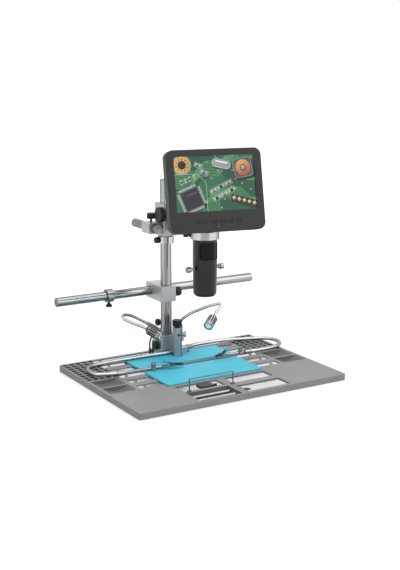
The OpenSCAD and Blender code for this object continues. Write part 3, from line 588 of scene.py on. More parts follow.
@dataclass
class SolidDressing:
    """Puts finishes and rounded edges on the CAD solids that stay visible."""

    finishes: dict[str, Finish] = field(default_factory=dict)
    rounded: dict[str, float] = field(default_factory=dict)
    zones: dict[str, tuple[Finish, Callable[[Vector], bool]]] = field(default_factory=dict)

    WELD = 0.000002                   # points closer than this are one, in metres
    FLAT = math.radians(0.6)          # faces within this angle are one flat face
    ROUND_FROM = math.radians(40.0)   # edges sharper than this are rounded
    HARD_FROM = math.radians(32)      # edges sharper than this stay hard

    @classmethod
    def modify(cls, obj: bpy.types.Object, radius: float) -> None:
        """Gives a solid its modifiers, its own points untouched.

        Args:
            obj: the solid.
            radius: width of its rounded edges in millimetres, 0 for none.
        """
        add_modifier(obj, "weld", "WELD", merge_threshold=cls.WELD)
        if radius:
            add_modifier(obj, "flat_faces", "DECIMATE", decimate_type="DISSOLVE",
                         angle_limit=cls.FLAT, delimit={"MATERIAL"})
            add_modifier(obj, "round_edges", "BEVEL", width=radius * MM, segments=2,
                         limit_method="ANGLE", angle_limit=cls.ROUND_FROM,
                         use_clamp_overlap=True, harden_normals=True)
        add_modifier(obj, "hard_edges", "EDGE_SPLIT", split_angle=cls.HARD_FROM)
        add_modifier(obj, "flat_shading", "WEIGHTED_NORMAL", weight=100, keep_sharp=True)

    def dress(self) -> None:
        """Dresses every CAD solid of the list."""
        for name, finish in self.finishes.items():
            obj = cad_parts[name]
            mesh = obj.data
            mesh.materials.clear()
            mesh.materials.append(finish.material())
            slots = [0] * len(mesh.polygons)
            if name in self.zones:
                other, belongs = self.zones[name]
                mesh.materials.append(other.material())
                slots = [int(belongs(p.center / MM)) for p in mesh.polygons]
            mesh.polygons.foreach_set("material_index", slots)
            mesh.polygons.foreach_set("use_smooth", [True] * len(mesh.polygons))
            self.modify(obj, self.rounded.get(name, 0.0))
            LOG.info("dressed %s as %s", name, finish.name)


@dataclass
class FlexParts:
    """The bendable clip arms and lamp necks, with their ribs."""

    arm_z: float = 18.3
    arm_d: float = 7.0
    arm_rib: float = 3.4
    arm_groove: float = 0.32
    neck_d: float = 5.5
    neck_rib: float = 2.2
    neck_groove: float = 0.3
    hard_from: float = 60.0
    left_arm: tuple = ((12, 101), (0.5, 100.7), (-43.7, 102.7), (-83.6, 103.3), (-123.6, 102.3),
                       (-158.7, 96.8), (-177.2, 79.2), (-177.1, 49.6), (-159.8, 39.3), (-139, 34))
    right_arm: tuple = ((30, 105.2), (40, 112.5), (60, 120), (90, 122), (125, 119.5), (152, 109.5),
                        (180, 99.5), (200, 88), (207, 68), (200, 48), (188, 38.5), (168, 32.5),
                        (140, 31), (120, 33))
    left_neck: tuple = ((-29, 137, 67), (-46, 136, 77), (-62, 133, 86), (-76, 127, 91.5),
                        (-88, 119, 93.5), (-91, 112, 90.5), (-84, 106, 85.5), (-73, 100, 80),
                        (-63, 96, 75.5), (-54, 91.6, 70.4))
    right_neck: tuple = ((20.5, 105, 66), (21, 103.5, 73), (27, 98, 81), (37, 88, 90),
                         (45.5, 75, 97.5), (53.5, 62, 104.8), (63, 52, 109), (67.5, 47, 111),
                         (68.5, 44, 108), (63.5, 42, 103), (58.5, 41, 99.5), (52, 39.3, 93),
                         (49.3, 37.5, 90.6))

    def build(self) -> None:
        """Builds both arms and both necks."""
        for name, points in (("left_flex_arm", self.left_arm), ("right_flex_arm", self.right_arm)):
            bm = bmesh.new()
            Maker.ribbed(bm, [(x, y, self.arm_z) for x, y in points], self.arm_d, self.arm_rib,
                         self.arm_groove)
            piece = Maker.finish(name + "_ribs", bm, Matrix(), [Finishes.FLEX], self.hard_from)
            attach(piece, "stand")
            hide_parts(name)
        bm = bmesh.new()
        for route in (self.left_neck, self.right_neck):
            Maker.ribbed(bm, route, self.neck_d, self.neck_rib, self.neck_groove)
        necks = Maker.finish("lamp_neck_ribs", bm, Matrix(), [Finishes.FLEX], self.hard_from)
        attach(necks, "stand")
        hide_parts("lamp_necks")
        LOG.info("built the bendable arms and necks")


@dataclass
class BenchLamps:
    """The two lamp heads, with grooves along the shell and a glowing face."""

    length: float = 28.0
    diameter: float = 17.0
    grooves: int = 12
    groove_depth: float = 0.75
    grooved_rings: tuple = (5, 6)
    groove_shade_from_z: float = 6.0      # where the black groove floors, painted shade, start
    groove_shade_over: float = 0.3        # and how wide they are, by the wave of the grooves
    front: float = 8.0            # length of the smooth front of the shell
    chips: int = 6
    chip_ring: float = 3.9
    heads: tuple = (("left", (-55, 92, 71), (0.61, -0.668, -0.45)),
                    ("right", (50, 38, 91), (-0.744, -0.518, -0.422)))

    def flute(self, angle: float, ring: int) -> float:
        """Depth of the grooves at an angle: only the middle of the shell has them.

        Args:
            angle: angle about the shell's axis, in radians.
            ring: number of the ring.

        Returns:
            The change of radius, in millimetres.
        """
        if ring not in self.grooved_rings:
            return 0.0
        return -self.groove_depth * max(0.0, math.cos(angle * self.grooves)) ** 3

    def shell(self) -> bmesh.types.BMesh:
        """Returns the shell, with its neck and its groove floors in the second finish: the black in
        the grooves is painted shade.

        Returns:
            The working mesh.
        """
        r, n = self.diameter / 2, self.length
        bm = bmesh.new()
        profile = [(3.2, 0.0), (5.0, 0.0), (5.6, 0.6), (r - 0.5, 3.4), (r, 4.4), (r, 4.9),
                   (r, n - self.front), (r, n - 7.4), (r, n - 0.6), (r - 0.5, n), (r - 1.2, n),
                   (r - 1.3, n - 0.7), (r - 1.3, n - 2.6)]
        dark_neck = [1] * 3 + [0] * 9
        Maker.lathe(bm, profile, 96, dark_neck, self.flute)
        for face in bm.faces:
            at = face.calc_center_median()
            wave = math.cos(math.atan2(at.y, at.x) * self.grooves)
            # groove floors painted black: painted shade in the grooves
            if self.groove_shade_from_z < at.z < n - self.front and wave > self.groove_shade_over:
                face.material_index = 1
        return bm

    def lens(self) -> bmesh.types.BMesh:
        """Returns the domed lens.

        Returns:
            The working mesh.
        """
        r, n = self.diameter / 2, self.length
        bm = bmesh.new()
        Maker.lathe(bm, [(r - 1.35, n - 2.9), (r - 1.35, n - 2.3), (r - 2.2, n - 1.6),
                         (4.0, n - 1.2), (1.0, n - 1.1)])
        return bm

    def lights(self) -> bmesh.types.BMesh:
        """Returns the light chips, one in the middle and the others round it.

        Returns:
            The working mesh.
        """
        n = self.length
        bm = bmesh.new()
        for i in range(self.chips + 1):
            rho = 0.0 if i == 0 else self.chip_ring
            angle = i * math.tau / self.chips
            chip = bmesh.new()
            Maker.lathe(chip, [(1.1, n - 1.6), (1.1, n - 0.95), (0.8, n - 0.7), (0.2, n - 0.62)],
                        16)
            Maker.merge(bm, chip, Matrix.Translation((rho * math.cos(angle),
                                                      rho * math.sin(angle), 0)))
        return bm

    def build(self) -> None:
        """Builds both heads and their faces."""
        pieces = []
        for side, origin, direction in self.heads:
            place = Maker.aim(origin, direction)
            for part, bm, finishes in (
                    # second finish: the black neck and the painted shade in the grooves
                    ("shell", self.shell(), [Finishes.CHROME_Z, Finishes.KNOB]),
                    ("lens", self.lens(), [Finishes.LAMP_FACE]),
                    ("chips", self.lights(), [Finishes.LAMP_CHIP])):
                pieces.append(Maker.finish(f"{side}_lamp_{part}", bm, place, finishes))
        for piece in pieces:
            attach(piece, "stand")
        for piece in pieces:
            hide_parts("lamp_heads")
        LOG.info("built the lamp heads")


@dataclass
class ClipJaws:
    """The moving jaws of the two clips, with serrated tips and blue sleeves."""

    back: float = 12.0
    half: float = 2.5
    teeth: int = 5
    tooth: float = 0.9
    sleeve_at: tuple = (-12.6, 0, 6.2)
    sleeve_turn: float = 98.0
    clips: tuple = (("left_clip_jaw", (-43, 22.351, 22.2), (-24, 18.5)),
                    ("right_clip_jaw", (61, 29.696, 22.2), (48, 28)))

    def outline(self, length: float) -> list[tuple[float, float]]:
        """Returns the side view of a jaw of that length from pivot to tip.

        Args:
            length: distance from the pivot to the tip.

        Returns:
            The points in X and Z.
        """
        teeth = []
        for i in range(self.teeth):
            x = length - self.tooth * i
            teeth += [(x - self.tooth / 2, -1.5), (x - self.tooth, -1.15)]
        return ([(-self.back, 5.2), (-self.back, 7.0), (-2.0, 2.7), (0.0, 2.1),
                 (length * 0.6, 1.2), (length, 0.2), (length, -1.5)] + teeth[:-1] + [(0.0, -0.9)])

    def build(self) -> None:
        """Builds jaw and sleeve of both clips."""
        for node, pivot, tip in self.clips:
            dx, dy = tip[0] - pivot[0], tip[1] - pivot[1]
            place = Matrix.Translation(pivot) @ Matrix.Rotation(math.atan2(dy, dx), 4, "Z")
            bm = bmesh.new()
            Maker.prism(bm, self.outline(math.hypot(dx, dy)), self.half)
            rod = bmesh.new()
            Maker.lathe(rod, [(1.0, -4.4), (1.3, -4.2), (1.3, 4.2), (1.0, 4.4)], 20)
            Maker.merge(bm, rod, Matrix.Rotation(math.pi / 2, 4, "X"))
            jaw = Maker.finish(node + "_body", bm, place, [Finishes.SHELL])
            bm = bmesh.new()
            Maker.lathe(bm, [(2.3, -4.5), (3.0, -4.3), (3.2, -3.7), (3.2, 3.4), (3.0, 4.2),
                             (2.2, 4.5)], 32)
            tilt = Matrix.Rotation(math.radians(self.sleeve_turn), 4, "Y")
            sleeve = Maker.finish(node + "_sleeve", bm,
                                  place @ (Matrix.Translation(self.sleeve_at) @ tilt),
                                  [Finishes.SLEEVE])
            for piece in (jaw, sleeve):
                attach(piece, node + "_body")
                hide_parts(node)
        LOG.info("built the clip jaws")


@dataclass
class LampLeads:
    """The two leads from the bracket into the base, with their plugs."""

    diameter: float = 3.0
    rib: float = 2.4
    groove: float = 0.04
    sides: int = 16
    plug_x: tuple = (-20.0, -14.0)
    plug_y: float = 146.5
    deck: float = 11.6
    plug: tuple = ((2.7, 0.0), (2.7, 1.8), (2.5, 2.0), (2.3, 2.6), (2.5, 3.0), (2.1, 3.6),
                   (2.3, 4.0), (1.9, 4.7), (2.1, 5.1), (1.8, 5.9), (1.6, 6.2))
    routes: tuple = (((-14, 139, 42), (-14.4, 144, 41.2), (-16.6, 147, 36.5), (-18.8, 148, 29),
                      (-19.8, 147.4, 22.5), (-20, 146.5, 16.6)),
                     ((-8, 139, 42), (-8.4, 144, 41.2), (-10.6, 147, 36.5), (-12.8, 148, 29),
                      (-13.8, 147.4, 22.5), (-14, 146.5, 16.6)))

    def build(self) -> None:
        """Builds both leads as one piece."""
        bm = bmesh.new()
        for route in self.routes:
            Maker.ribbed(bm, route, self.diameter, self.rib, self.groove, self.sides)
        for x in self.plug_x:
            plug = bmesh.new()
            Maker.lathe(plug, [(r, self.deck + z) for r, z in self.plug], 24)
            Maker.merge(bm, plug, Matrix.Translation((x, self.plug_y, 0)))
        leads = Maker.finish("lamp_lead_sleeves", bm, Matrix(), [Finishes.LEAD])
        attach(leads, "stand")
        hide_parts("lamp_leads")
        LOG.info("built the lamp leads")


@dataclass
class DisplayPicture:
    """A made-up close view of a circuit board that the display shows."""

    width: float = 137.4
    height: float = 89.6
    depth: float = 2.36
    layer: float = 0.008
    faces: list = field(default_factory=list)
    level: int = 0

    TRACE, FINE_TRACE, PRINT, FINE_PRINT = 0.95, 0.8, 0.5, 0.45
    COLOURS = {
        "mask": ((0.022, 0.125, 0.060), (0.009, 0.065, 0.035)),
        "pour": ((0.036, 0.175, 0.08), (0.018, 0.11, 0.052)),
        "shadow": ((0.006, 0.030, 0.020), (0.003, 0.018, 0.012)),
        "trace": ((0.12, 0.36, 0.14), (0.06, 0.25, 0.10)),
        "silk": ((0.78, 0.82, 0.78), (0.48, 0.54, 0.50)),
        "solder": ((0.62, 0.64, 0.64), (0.24, 0.26, 0.27)),
        "glint": ((0.95, 0.96, 0.96), (0.78, 0.80, 0.82)),
        "steel": ((0.40, 0.42, 0.43), (0.19, 0.20, 0.21)),
        "chip": ((0.028, 0.029, 0.033), (0.014, 0.015, 0.017)),
        # "edge" grey paints rim light and sheen on the parts; shadow, glint and warm_glint paint
        # drawn shadows and highlights
        "edge": ((0.115, 0.12, 0.13), (0.06, 0.062, 0.07)),
        "copper": ((0.60, 0.19, 0.045), (0.28, 0.07, 0.014)),
        "warm_glint": ((0.95, 0.50, 0.20), (0.70, 0.30, 0.09)),
        "gold": ((0.74, 0.50, 0.15), (0.42, 0.26, 0.065)),
        "hole": ((0.006, 0.010, 0.010), (0.012, 0.020, 0.020)),
        "ceramic": ((0.36, 0.23, 0.13), (0.22, 0.14, 0.08)),
        "blue": ((0.035, 0.10, 0.30), (0.018, 0.05, 0.17)),
    }
    VIAS = ((-64, 24), (-50, 6), (-31, 30), (-12, 34), (6, 20), (20, 40), (-63, -12), (-16, -30),
            (8, -40), (26, -6), (46, -2), (61, -12), (-6, 8), (-42, -4), (64, 40), (36, 6),
            (-22, 20), (14, -26))
    PARTS = ((-4, -12, 24, "ceramic"), (9, -6, 24, "chip"), (22, 0, 24, "ceramic"),
             (1, -24, 24, "chip"), (14, -18, 24, "ceramic"), (27, -12, 24, "chip"),
             (-28, 30, -24, "ceramic"), (-18, 18, -24, "blue"))

    def clip(self, points: list[tuple[float, float]]) -> list[tuple[float, float]]:
        """Cuts a convex outline at the edges of the display.

        Args:
            points: the outline.

        Returns:
            The part inside, which is empty if nothing is left.
        """
        w, h = self.width / 2, self.height / 2
        for axis, limit, sign in ((0, w, 1), (0, -w, -1), (1, h, 1), (1, -h, -1)):
            out = []
            for i, p in enumerate(points):
                q = points[(i + 1) % len(points)]
                inside = (p[axis] - limit) * sign <= 0
                if inside:
                    out.append(p)
                if inside != ((q[axis] - limit) * sign <= 0):
                    t = (limit - p[axis]) / (q[axis] - p[axis])
                    out.append((p[0] + t * (q[0] - p[0]), p[1] + t * (q[1] - p[1])))
            points = out
            if len(points) < 3:
                return []
        return points

    def shape(self, points: Sequence[tuple[float, float]], colour: str) -> None:
        """Adds one convex outline on the present layer.

        Args:
            points: the outline.
            colour: its colour.
        """
        cut = self.clip(list(points))
        if len(cut) > 2:
            self.faces.append((cut, colour, self.level))

    def over(self) -> None:
        """Puts what follows in front of what was drawn."""
        self.level += 1

    def disc(self, x: float, y: float, r: float, colour: str, n: int = 40) -> None:
        """Adds a filled circle."""
        self.shape([(x + r * math.cos(k * math.tau / n), y + r * math.sin(k * math.tau / n))
                    for k in range(n)], colour)

    def block(self, x: float, y: float, w: float, h: float, turn: float, colour: str,
              corner: float = 0.0) -> None:
        """Adds a turned rectangle given by its middle, with round corners over 0.

        Args:
            x: its middle in X.
            y: its middle in Y.
            w: its width.
            h: its height.
            turn: its turn in degrees.
            colour: its colour.
            corner: radius of its corners, 0 for sharp ones.
        """
        c, s = cos_sin(turn)
        points = []
        for k, (a, b) in enumerate(((1, 1), (-1, 1), (-1, -1), (1, -1))):
            for i in range(6 if corner else 1):
                at = math.radians(90 * k + 18 * i)
                points.append((a * (w / 2 - corner) + corner * math.cos(at),
                               b * (h / 2 - corner) + corner * math.sin(at)))
        self.shape([(x + p * c - q * s, y + p * s + q * c) for p, q in points], colour)

    def stack(self, x: float, y: float, turn: float, rows: Sequence[tuple]) -> None:
        """Adds turned rectangles, each in front of the one before.

        Args:
            x: middle of them all.
            y: middle of them all.
            turn: their turn in degrees.
            rows: shift in X and in Y, width, height, colour and corner of each.
        """
        for dx, dy, w, h, colour, corner in rows:
            self.block(x + dx, y + dy, w, h, turn, colour, corner)
            self.over()

    def discs(self, x: float, y: float, rows: Sequence[tuple]) -> None:
        """Adds discs over each other, by shift in X and in Y, radius, colour and sides.

        Args:
            x: middle of them all.
            y: middle of them all.
            rows: shift in X and in Y, radius, colour and sides of each.
        """
        for dx, dy, r, colour, n in rows:
            self.disc(x + dx, y + dy, r, colour, n)
            self.over()

    def line(self, points: Outline, width: float, colour: str) -> None:
        """Adds a line with round joints.

        Args:
            points: its points in order.
            width: its width.
            colour: its colour.
        """
        for (x0, y0), (x1, y1) in zip(points, points[1:]):
            self.block((x0 + x1) / 2, (y0 + y1) / 2, math.hypot(x1 - x0, y1 - y0), width,
                       math.degrees(math.atan2(y1 - y0, x1 - x0)), colour)
        for x, y in points[1:-1]:
            self.disc(x, y, width / 2, colour, 12)

    def draw_board(self) -> None:
        """Draws the board, its traces, pads and holes."""
        self.stack(0, 0, 0, [(0, 0, self.width, self.height, "mask", 0.0)])
        self.shape([(-68.7, -8), (-34, -44.8), (-68.7, -44.8)], "pour")
        self.shape([(6, 44.8), (68.7, 44.8), (68.7, 6), (40, 14)], "pour")
        self.stack(-4, -2, 24, [(0, 0, 46, 26, "pour", 3)])
        for i in range(11):
            o = i * 2.7
            self.line([(-72, -6 + o), (-44 + o * 0.4, -6 + o), (-26 + o * 0.4, 12 + o * 0.9),
                       (6 + o * 0.2, 12 + o * 0.9), (24 + o * 0.5, 30 + o),
                       (40 + o * 0.5, 50 + o)], self.TRACE, "trace")
        for i in range(12):
            o = i * 2.6
            self.line([(-24 + o, -48), (-24 + o, -34 + o * 0.35), (-8 + o, -18 + o * 0.35),
                       (14 + o, -18 + o * 0.35), (32 + o, -34 + o * 0.3), (72, -34 + o * 0.3)],
                      self.TRACE, "trace")
        for i in range(6):
            self.line([(30 + i * 2.4, 50), (30 + i * 2.4, 22 - i), (44 + i * 2.4, 8 - i),
                       (72, 8 - i)], self.FINE_TRACE, "trace")
        self.over()
        for colour, r in (("solder", 1.5), ("hole", 0.7)):
            for x, y in self.VIAS:
                self.disc(x, y, r, colour, 18)
            self.over()
        self.line([(-72, 16), (-30, 16), (-16, 2), (-16, -48)], self.PRINT, "silk")
        self.line([(-2, 48), (26, 20), (72, 20)], self.PRINT, "silk")
        self.over()

    def draw_part(self, x: float, y: float, turn: float, body: str, size: float = 1.0) -> None:
        """Draws a small two-ended part with solder, shadow and printed frame.

        Args:
            x: its middle in X.
            y: its middle in Y.
            turn: its turn in degrees.
            body: colour of its body.
            size: its size, where 1 is 13 mm with the frame.
        """
        c, s = cos_sin(turn)
        w, h = 13 * size, 7.2 * size
        self.line([(x + a * w / 2 * c - b * h / 2 * s, y + a * w / 2 * s + b * h / 2 * c)
                   for a, b in ((-1, -1), (1, -1), (1, 1), (-1, 1), (-1, -1))],
                  self.FINE_PRINT, "silk")
        self.stack(x, y, turn, [(0.7, -0.9, 10.6 * size, 4.8 * size, "shadow", 0.6)])
        for k in (-1, 1):
            self.block(x + k * 3.6 * size * c, y + k * 3.6 * size * s, 3.6 * size, 4.6 * size,
                       turn, "solder", 0.7)
        self.over()
        for k in (-1, 1):
            self.block(x + k * 3.9 * size * c, y + k * 3.9 * size * s + 0.7 * size, 1.6 * size,
                       1.1 * size, turn, "glint", 0.4)
        self.stack(x, y, turn, [(0, 0, 5.6 * size, 4.0 * size, body, 0.0),
                                (-1.3 * size * s, 1.3 * size * c, 5.4 * size, 0.7 * size,
                                 "edge" if body == "chip" else "silk", 0.0)])

    def draw_quad(self, x: float, y: float, size: float, turn: float, pins: int) -> None:
        """Draws a flat square chip with pins on four sides.

        Args:
            x: its middle in X.
            y: its middle in Y.
            size: its width.
            turn: its turn in degrees.
            pins: pins of one side.
        """
        self.stack(x, y, turn, [(2.0, -2.6, size + 5, size + 5, "shadow", 2)])
        for colour, width, long, out in (("solder", 0.5, 5.2, 2.2), ("glint", 0.26, 1.5, 3.2)):
            for side in range(4):
                c, s = cos_sin(turn + 90 * side)
                for i in range(pins):
                    u, v = (i - (pins - 1) / 2) * (size - 2) / pins, size / 2 + out
                    self.block(x + u * c - v * s, y + u * s + v * c, size / pins * width, long,
                               turn + 90 * side, colour)
            self.over()
        # lighter rim and top strip in the edge grey: painted rim light and sheen
        self.stack(x, y, turn, [(0, 0, size, size, "edge", 1.0),
                                (0.3, -0.3, size - 1.6, size - 1.6, "chip", 0.8)])
        c, s = cos_sin(turn)
        u = -size / 2 + 4.5
        self.disc(x + u * c + u * s, y + u * s - u * c, 1.4, "edge", 24)
        self.stack(x, y, turn, [(1, size * 0.26, size * 0.62, 2.2, "edge", 1.0)])

    def draw_inductor(self, x: float, y: float, size: float, turn: float) -> None:
        """Draws a square shielded coil with its copper turns seen from above.

        Args:
            x: its middle in X.
            y: its middle in Y.
            size: its width.
            turn: its turn in degrees.
        """
        # offset dark layers: painted drop shadow and shaded side
        self.stack(x, y, turn, [(2.4, -3.2, size + 2, size + 2, "shadow", 6),
                                (0.8, -1.4, size, size, "chip", 6),
                                (0, 0, size, size, "steel", 6),
                                (0, 0, size - 1.8, size - 1.8, "edge", 5)])
        for i in range(6):
            r = size * (0.40 - 0.042 * i)
            self.discs(x, y, [(0, 0, r, "copper", 48), (-0.1, 0.25, r - size * 0.012, "warm_glint", 48),
                              (0.1, -0.2, r - size * 0.026, "copper" if i < 5 else "hole", 48)])
        self.discs(x, y, [(0, 0, size * 0.12, "steel", 40), (-0.5, 0.6, size * 0.07, "solder", 30)])

    def draw_crystal(self, x: float, y: float, w: float, h: float, turn: float) -> None:
        """Draws a long metal can with round ends.

        Args:
            x: its middle in X.
            y: its middle in Y.
            w: its length.
            h: its width.
            turn: its turn in degrees.
        """
        s = math.sin(math.radians(turn))
        # offset layers paint the can's shadow, shaded rim, lit top and a highlight
        self.stack(x, y, turn, [(1.8, -2.4, w + 2, h + 2, "shadow", h / 2)] + [
            (dx, dy, w + grow, h + grow, colour, (h + grow) / 2 - 0.2) for grow, dx, dy, colour in
            ((1.6, 0.6, -1.0, "edge"), (1.6, 0, 0, "steel"), (0, 0, 0, "solder"),
             (-2.4, -0.3, 0.5, "steel"))] + [
            (-s * h * 0.22, h * 0.22, w * 0.66, h * 0.16, "glint", h * 0.07)])

    def draw_header(self, x: float, y: float, count: int, step: float, turn: float) -> None:
        """Draws a row of gold contacts in a dark strip.

        Args:
            x: its middle in X.
            y: its middle in Y.
            count: number of contacts.
            step: distance between two.
            turn: its turn in degrees.
        """
        c, s = cos_sin(turn)
        long = count * step + 2
        self.stack(x, y, turn, [(1.8, -2.4, long, step + 3, "shadow", 1),
                                (0, 0, long, step + 2, "edge", 0.8),
                                (0.3, -0.4, long - 1.2, step + 0.8, "chip", 0.6)])
        for w, dx, dy, colour in ((0.58, 0, 0, "gold"), (0.34, -0.3, 0.4, "glint"),
                                  (0.2, 0.2, -0.2, "copper")):
            for i in range(count):
                u = (i - (count - 1) / 2) * step
                self.block(x + u * c + dx, y + u * s + dy, step * w, step * w, turn + 45, colour,
                           0.4)
            self.over()

    def draw_ring(self, x: float, y: float, r: float) -> None:
        """Draws a gilded fixing hole with small holes round it.

        Args:
            x: its middle in X.
            y: its middle in Y.
            r: radius of the gilding.
        """
        self.discs(x, y, [(0, 0, r * k, colour, 60) for k, colour in
                          ((1.12, "silk"), (1.07, "mask"), (1.0, "gold"), (0.93, "warm_glint"),
                           (0.88, "gold"), (0.52, "copper"), (0.47, "hole"))])
        for k in range(10):
            a = k * math.tau / 10 + 0.2
            self.disc(x + r * 0.70 * math.cos(a), y + r * 0.70 * math.sin(a), r * 0.075, "hole", 16)
        self.over()

    def build(self, place: Matrix) -> None:
        """Draws everything and puts the picture into the screen's own frame.

        Args:
            place: the screen's own frame, in millimetres.
        """
        self.draw_board()
        self.draw_ring(-55, 31, 14)
        for x, y, turn, body in self.PARTS:
            self.draw_part(x, y, turn, body)
        for i in range(4):
            self.draw_part(-58 + i * 7.5, 3 + i * 2.6, 108, "ceramic" if i % 2 else "chip", 0.62)
        self.draw_quad(-42, -24, 32, 20, 10)
        self.draw_crystal(12, 31, 32, 13, -14)
        self.draw_inductor(49, 24, 32, 9)
        self.draw_header(52, -31, 6, 9, -16)
        names = list(self.COLOURS)
        bm = bmesh.new()
        for points, colour, level in self.faces:
            y = self.depth - self.layer * level
            face = bm.faces.new([bm.verts.new((px, y, pz)) for px, pz in points])
            face.material_index = names.index(colour)
        for face in bm.faces:
            face.normal_update()
            if face.normal.y > 0:
                face.normal_flip()
        bmesh.ops.transform(bm, matrix=Matrix.Scale(MM, 4) @ place, verts=bm.verts)
        finishes = [Finish("picture_" + n, *self.COLOURS[n], (0.10, 0.16), scale=420, bump=0.0,
                           edge=0.0, specular=0.25, glow=1.0, lit=0.05) for n in names]
        obj = put("display_picture", Maker.data("display_picture", bm, finishes))
        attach(obj, "screen")
        LOG.info("built the display picture: %d shapes on %d layers", len(self.faces), self.level)


@dataclass
class ScreenUnit:
    """Frame of the tilting screen and the pieces that only it has."""

    axis_y: float = -14.0
    turn: float = 12.0
    tilt: float = 13.1
    pivot: tuple = (0.0, -16.0, 312.0)
    home: tuple = (0.0, -43.5, 23.4)

    def place(self) -> Matrix:
        """Returns the screen's own frame in the stand, in millimetres.

        Returns:
            The matrix of that frame.
        """
        turn = Matrix.Rotation(math.radians(-self.turn), 4, "Z")
        tilt = Matrix.Rotation(math.radians(-self.tilt), 4, "X")
        return (Matrix.Translation((0, self.axis_y, 0)) @ turn @ Matrix.Translation(self.pivot)
                @ tilt @ Matrix.Translation(self.home))

    def build(self) -> None:
        """Builds the picture that the display shows."""
        DisplayPicture().build(self.place())


@dataclass
class Studio:
    """Camera, floor, world and lamps of the photograph."""

    lens: float = 71.55
    sensor: float = 36.0
    view_end: float = 50.0
    camera_at: tuple = (-0.9729, -1.6102, 0.5893)
    look_at: tuple = (-0.00127, 0.0, 0.16185)
    ambient: float = 0.36         # the world's light on the object, where 1 is white
    floor_half: float = 6.0
    floor_drop: float = 0.0002    # keeps the floor clear of the feet
    lamp_aim: tuple = (0, 0, 0.15)
    lamps: tuple = (("key", (1.1, -1.7, 1.8), 3.0, 40), ("top", (-0.3, 0.15, 2.4), 2.6, 22),
                    ("fill", (-1.9, -0.9, 1.1), 2.4, 8), ("rim", (0.9, 2.1, 1.7), 2.2, 7))

    def camera(self) -> None:
        """Makes the camera at the photograph's viewing angle."""
        data = bpy.data.cameras.new("camera")
        data.lens = self.lens
        data.sensor_width = self.sensor
        data.clip_end = self.view_end
        obj = put("camera", data)
        obj.location = self.camera_at
        way = Vector(self.look_at) - Vector(self.camera_at)
        obj.rotation_euler = way.to_track_quat("-Z", "Y").to_euler()
        bpy.context.scene.camera = obj

    @staticmethod
    def seen(tree: bpy.types.NodeTree) -> Output:
        """Returns an output that is 1 for camera, glossy and transmitted rays.

        Args:
            tree: the nodes that receive it.

        Returns:
            The node and the name or number of its output.
        """
        path = add_node(tree, "LightPath")
        last: Output = (path, "Is Camera Ray")
        for name in ("Is Glossy Ray", "Is Transmission Ray"):
            top = add_node(tree, "Math", operation="MAXIMUM")
            wire(tree, (*last, top, 0), (path, name, top, 1))
            last = (top, 0)
        return last

    def world(self) -> None:
        """Makes a white backdrop with a plainer light level on the object."""
        world = bpy.data.worlds.new("studio")
        bpy.context.scene.world = world
        world.use_nodes = True
        tree = world.node_tree
        back = tree.nodes["Background"]
        level = add_node(tree, "MapRange", {"To Min": self.ambient, "To Max": 1.0})
        wire(tree, (*self.seen(tree), level, "Value"), (level, "Result", back, "Strength"))
        back.inputs["Color"].default_value = (1.0, 1.0, 1.0, 1.0)

    def floor(self) -> None:
        """Makes the pale floor that keeps the object's shadow; its glow grows with distance from
        the middle, which paints the floor darker round the object.
        """
        bm = bmesh.new()
        bmesh.ops.create_grid(bm, x_segments=1, y_segments=1, size=self.floor_half)
        mesh = Maker.data("floor", bm)
        mat = bpy.data.materials.new("floor")
        mat.use_nodes = True
        tree = mat.node_tree
        shader = tree.nodes["Principled BSDF"]
        shader.inputs["Base Color"].default_value = (0.55, 0.55, 0.55, 1.0)
        shader.inputs["Roughness"].default_value = 0.9
        shader.inputs["Specular IOR Level"].default_value = 0.1
        shader.inputs["Emission Color"].default_value = (1.0, 1.0, 1.0, 1.0)
        coord = add_node(tree, "TexCoord")
        # weaker glow near the middle: painted shade on the floor round the object
        far = add_node(tree, "VectorMath", operation="LENGTH")
        level = add_node(tree, "MapRange", {"From Min": 0.35, "From Max": 1.6,
                                            "To Min": 0.58, "To Max": 0.95})
        lift = add_node(tree, "Math", operation="MULTIPLY")
        wire(tree, (coord, "Object", far, 0), (far, "Value", level, "Value"),
             (level, "Result", lift, 1), (*self.seen(tree), lift, 0),
             (lift, 0, shader, "Emission Strength"))
        mesh.materials.append(mat)
        obj = put("floor", mesh)
        obj.location.z = -self.floor_drop

    def lamp(self, name: str, at: Point, size: float, watts: float) -> None:
        """Adds one soft lamp that faces the object.

        Args:
            name: name of the lamp.
            at: where it stands, in metres.
            size: its width in metres.
            watts: its power.
        """
        data = bpy.data.lights.new(name, "AREA")
        data.size = size
        data.energy = watts
        obj = put(name, data)
        obj.location = at
        obj.visible_camera = False
        way = Vector(self.lamp_aim) - Vector(at)
        obj.rotation_euler = way.to_track_quat("-Z", "Y").to_euler()

    def build(self) -> None:
        """Makes all of the studio but the camera."""
        self.world()
        self.floor()
        for lamp in self.lamps:
            self.lamp(*lamp)
        bpy.context.scene.view_settings.view_transform = "Standard"


# ------------------------------------------------------ dressing of the solids

RECESS = ((3.0, 11.4), 198.5, 148.5)  # its heights, and its reach in X and in Y
CAP_Z = 324.5                         # the column's end cap starts here
BEZEL_SHADE_DEPTH = 1.2                     # in the screen's frame, the bezel's faces behind this take the darker shell finish: painted shade on its sides
MAGNET_Y = -95.0                      # the magnet pad lies behind this, the rods in front
SHAFT_X = 13.6                        # the focusing shaft is bare as far as this
BARREL_Y, RING_R = -14.0, 25.0        # the slide's turned ring stands about the barrel


def in_recess(point: Vector) -> bool:
    """Tells whether a face of the base lies inside one of its cells or trays, which get the painted
    shade of the darker recess finish.
    """
    (low, high), reach_x, reach_y = RECESS
    return low < point.z < high and abs(point.x) < reach_x and abs(point.y) < reach_y


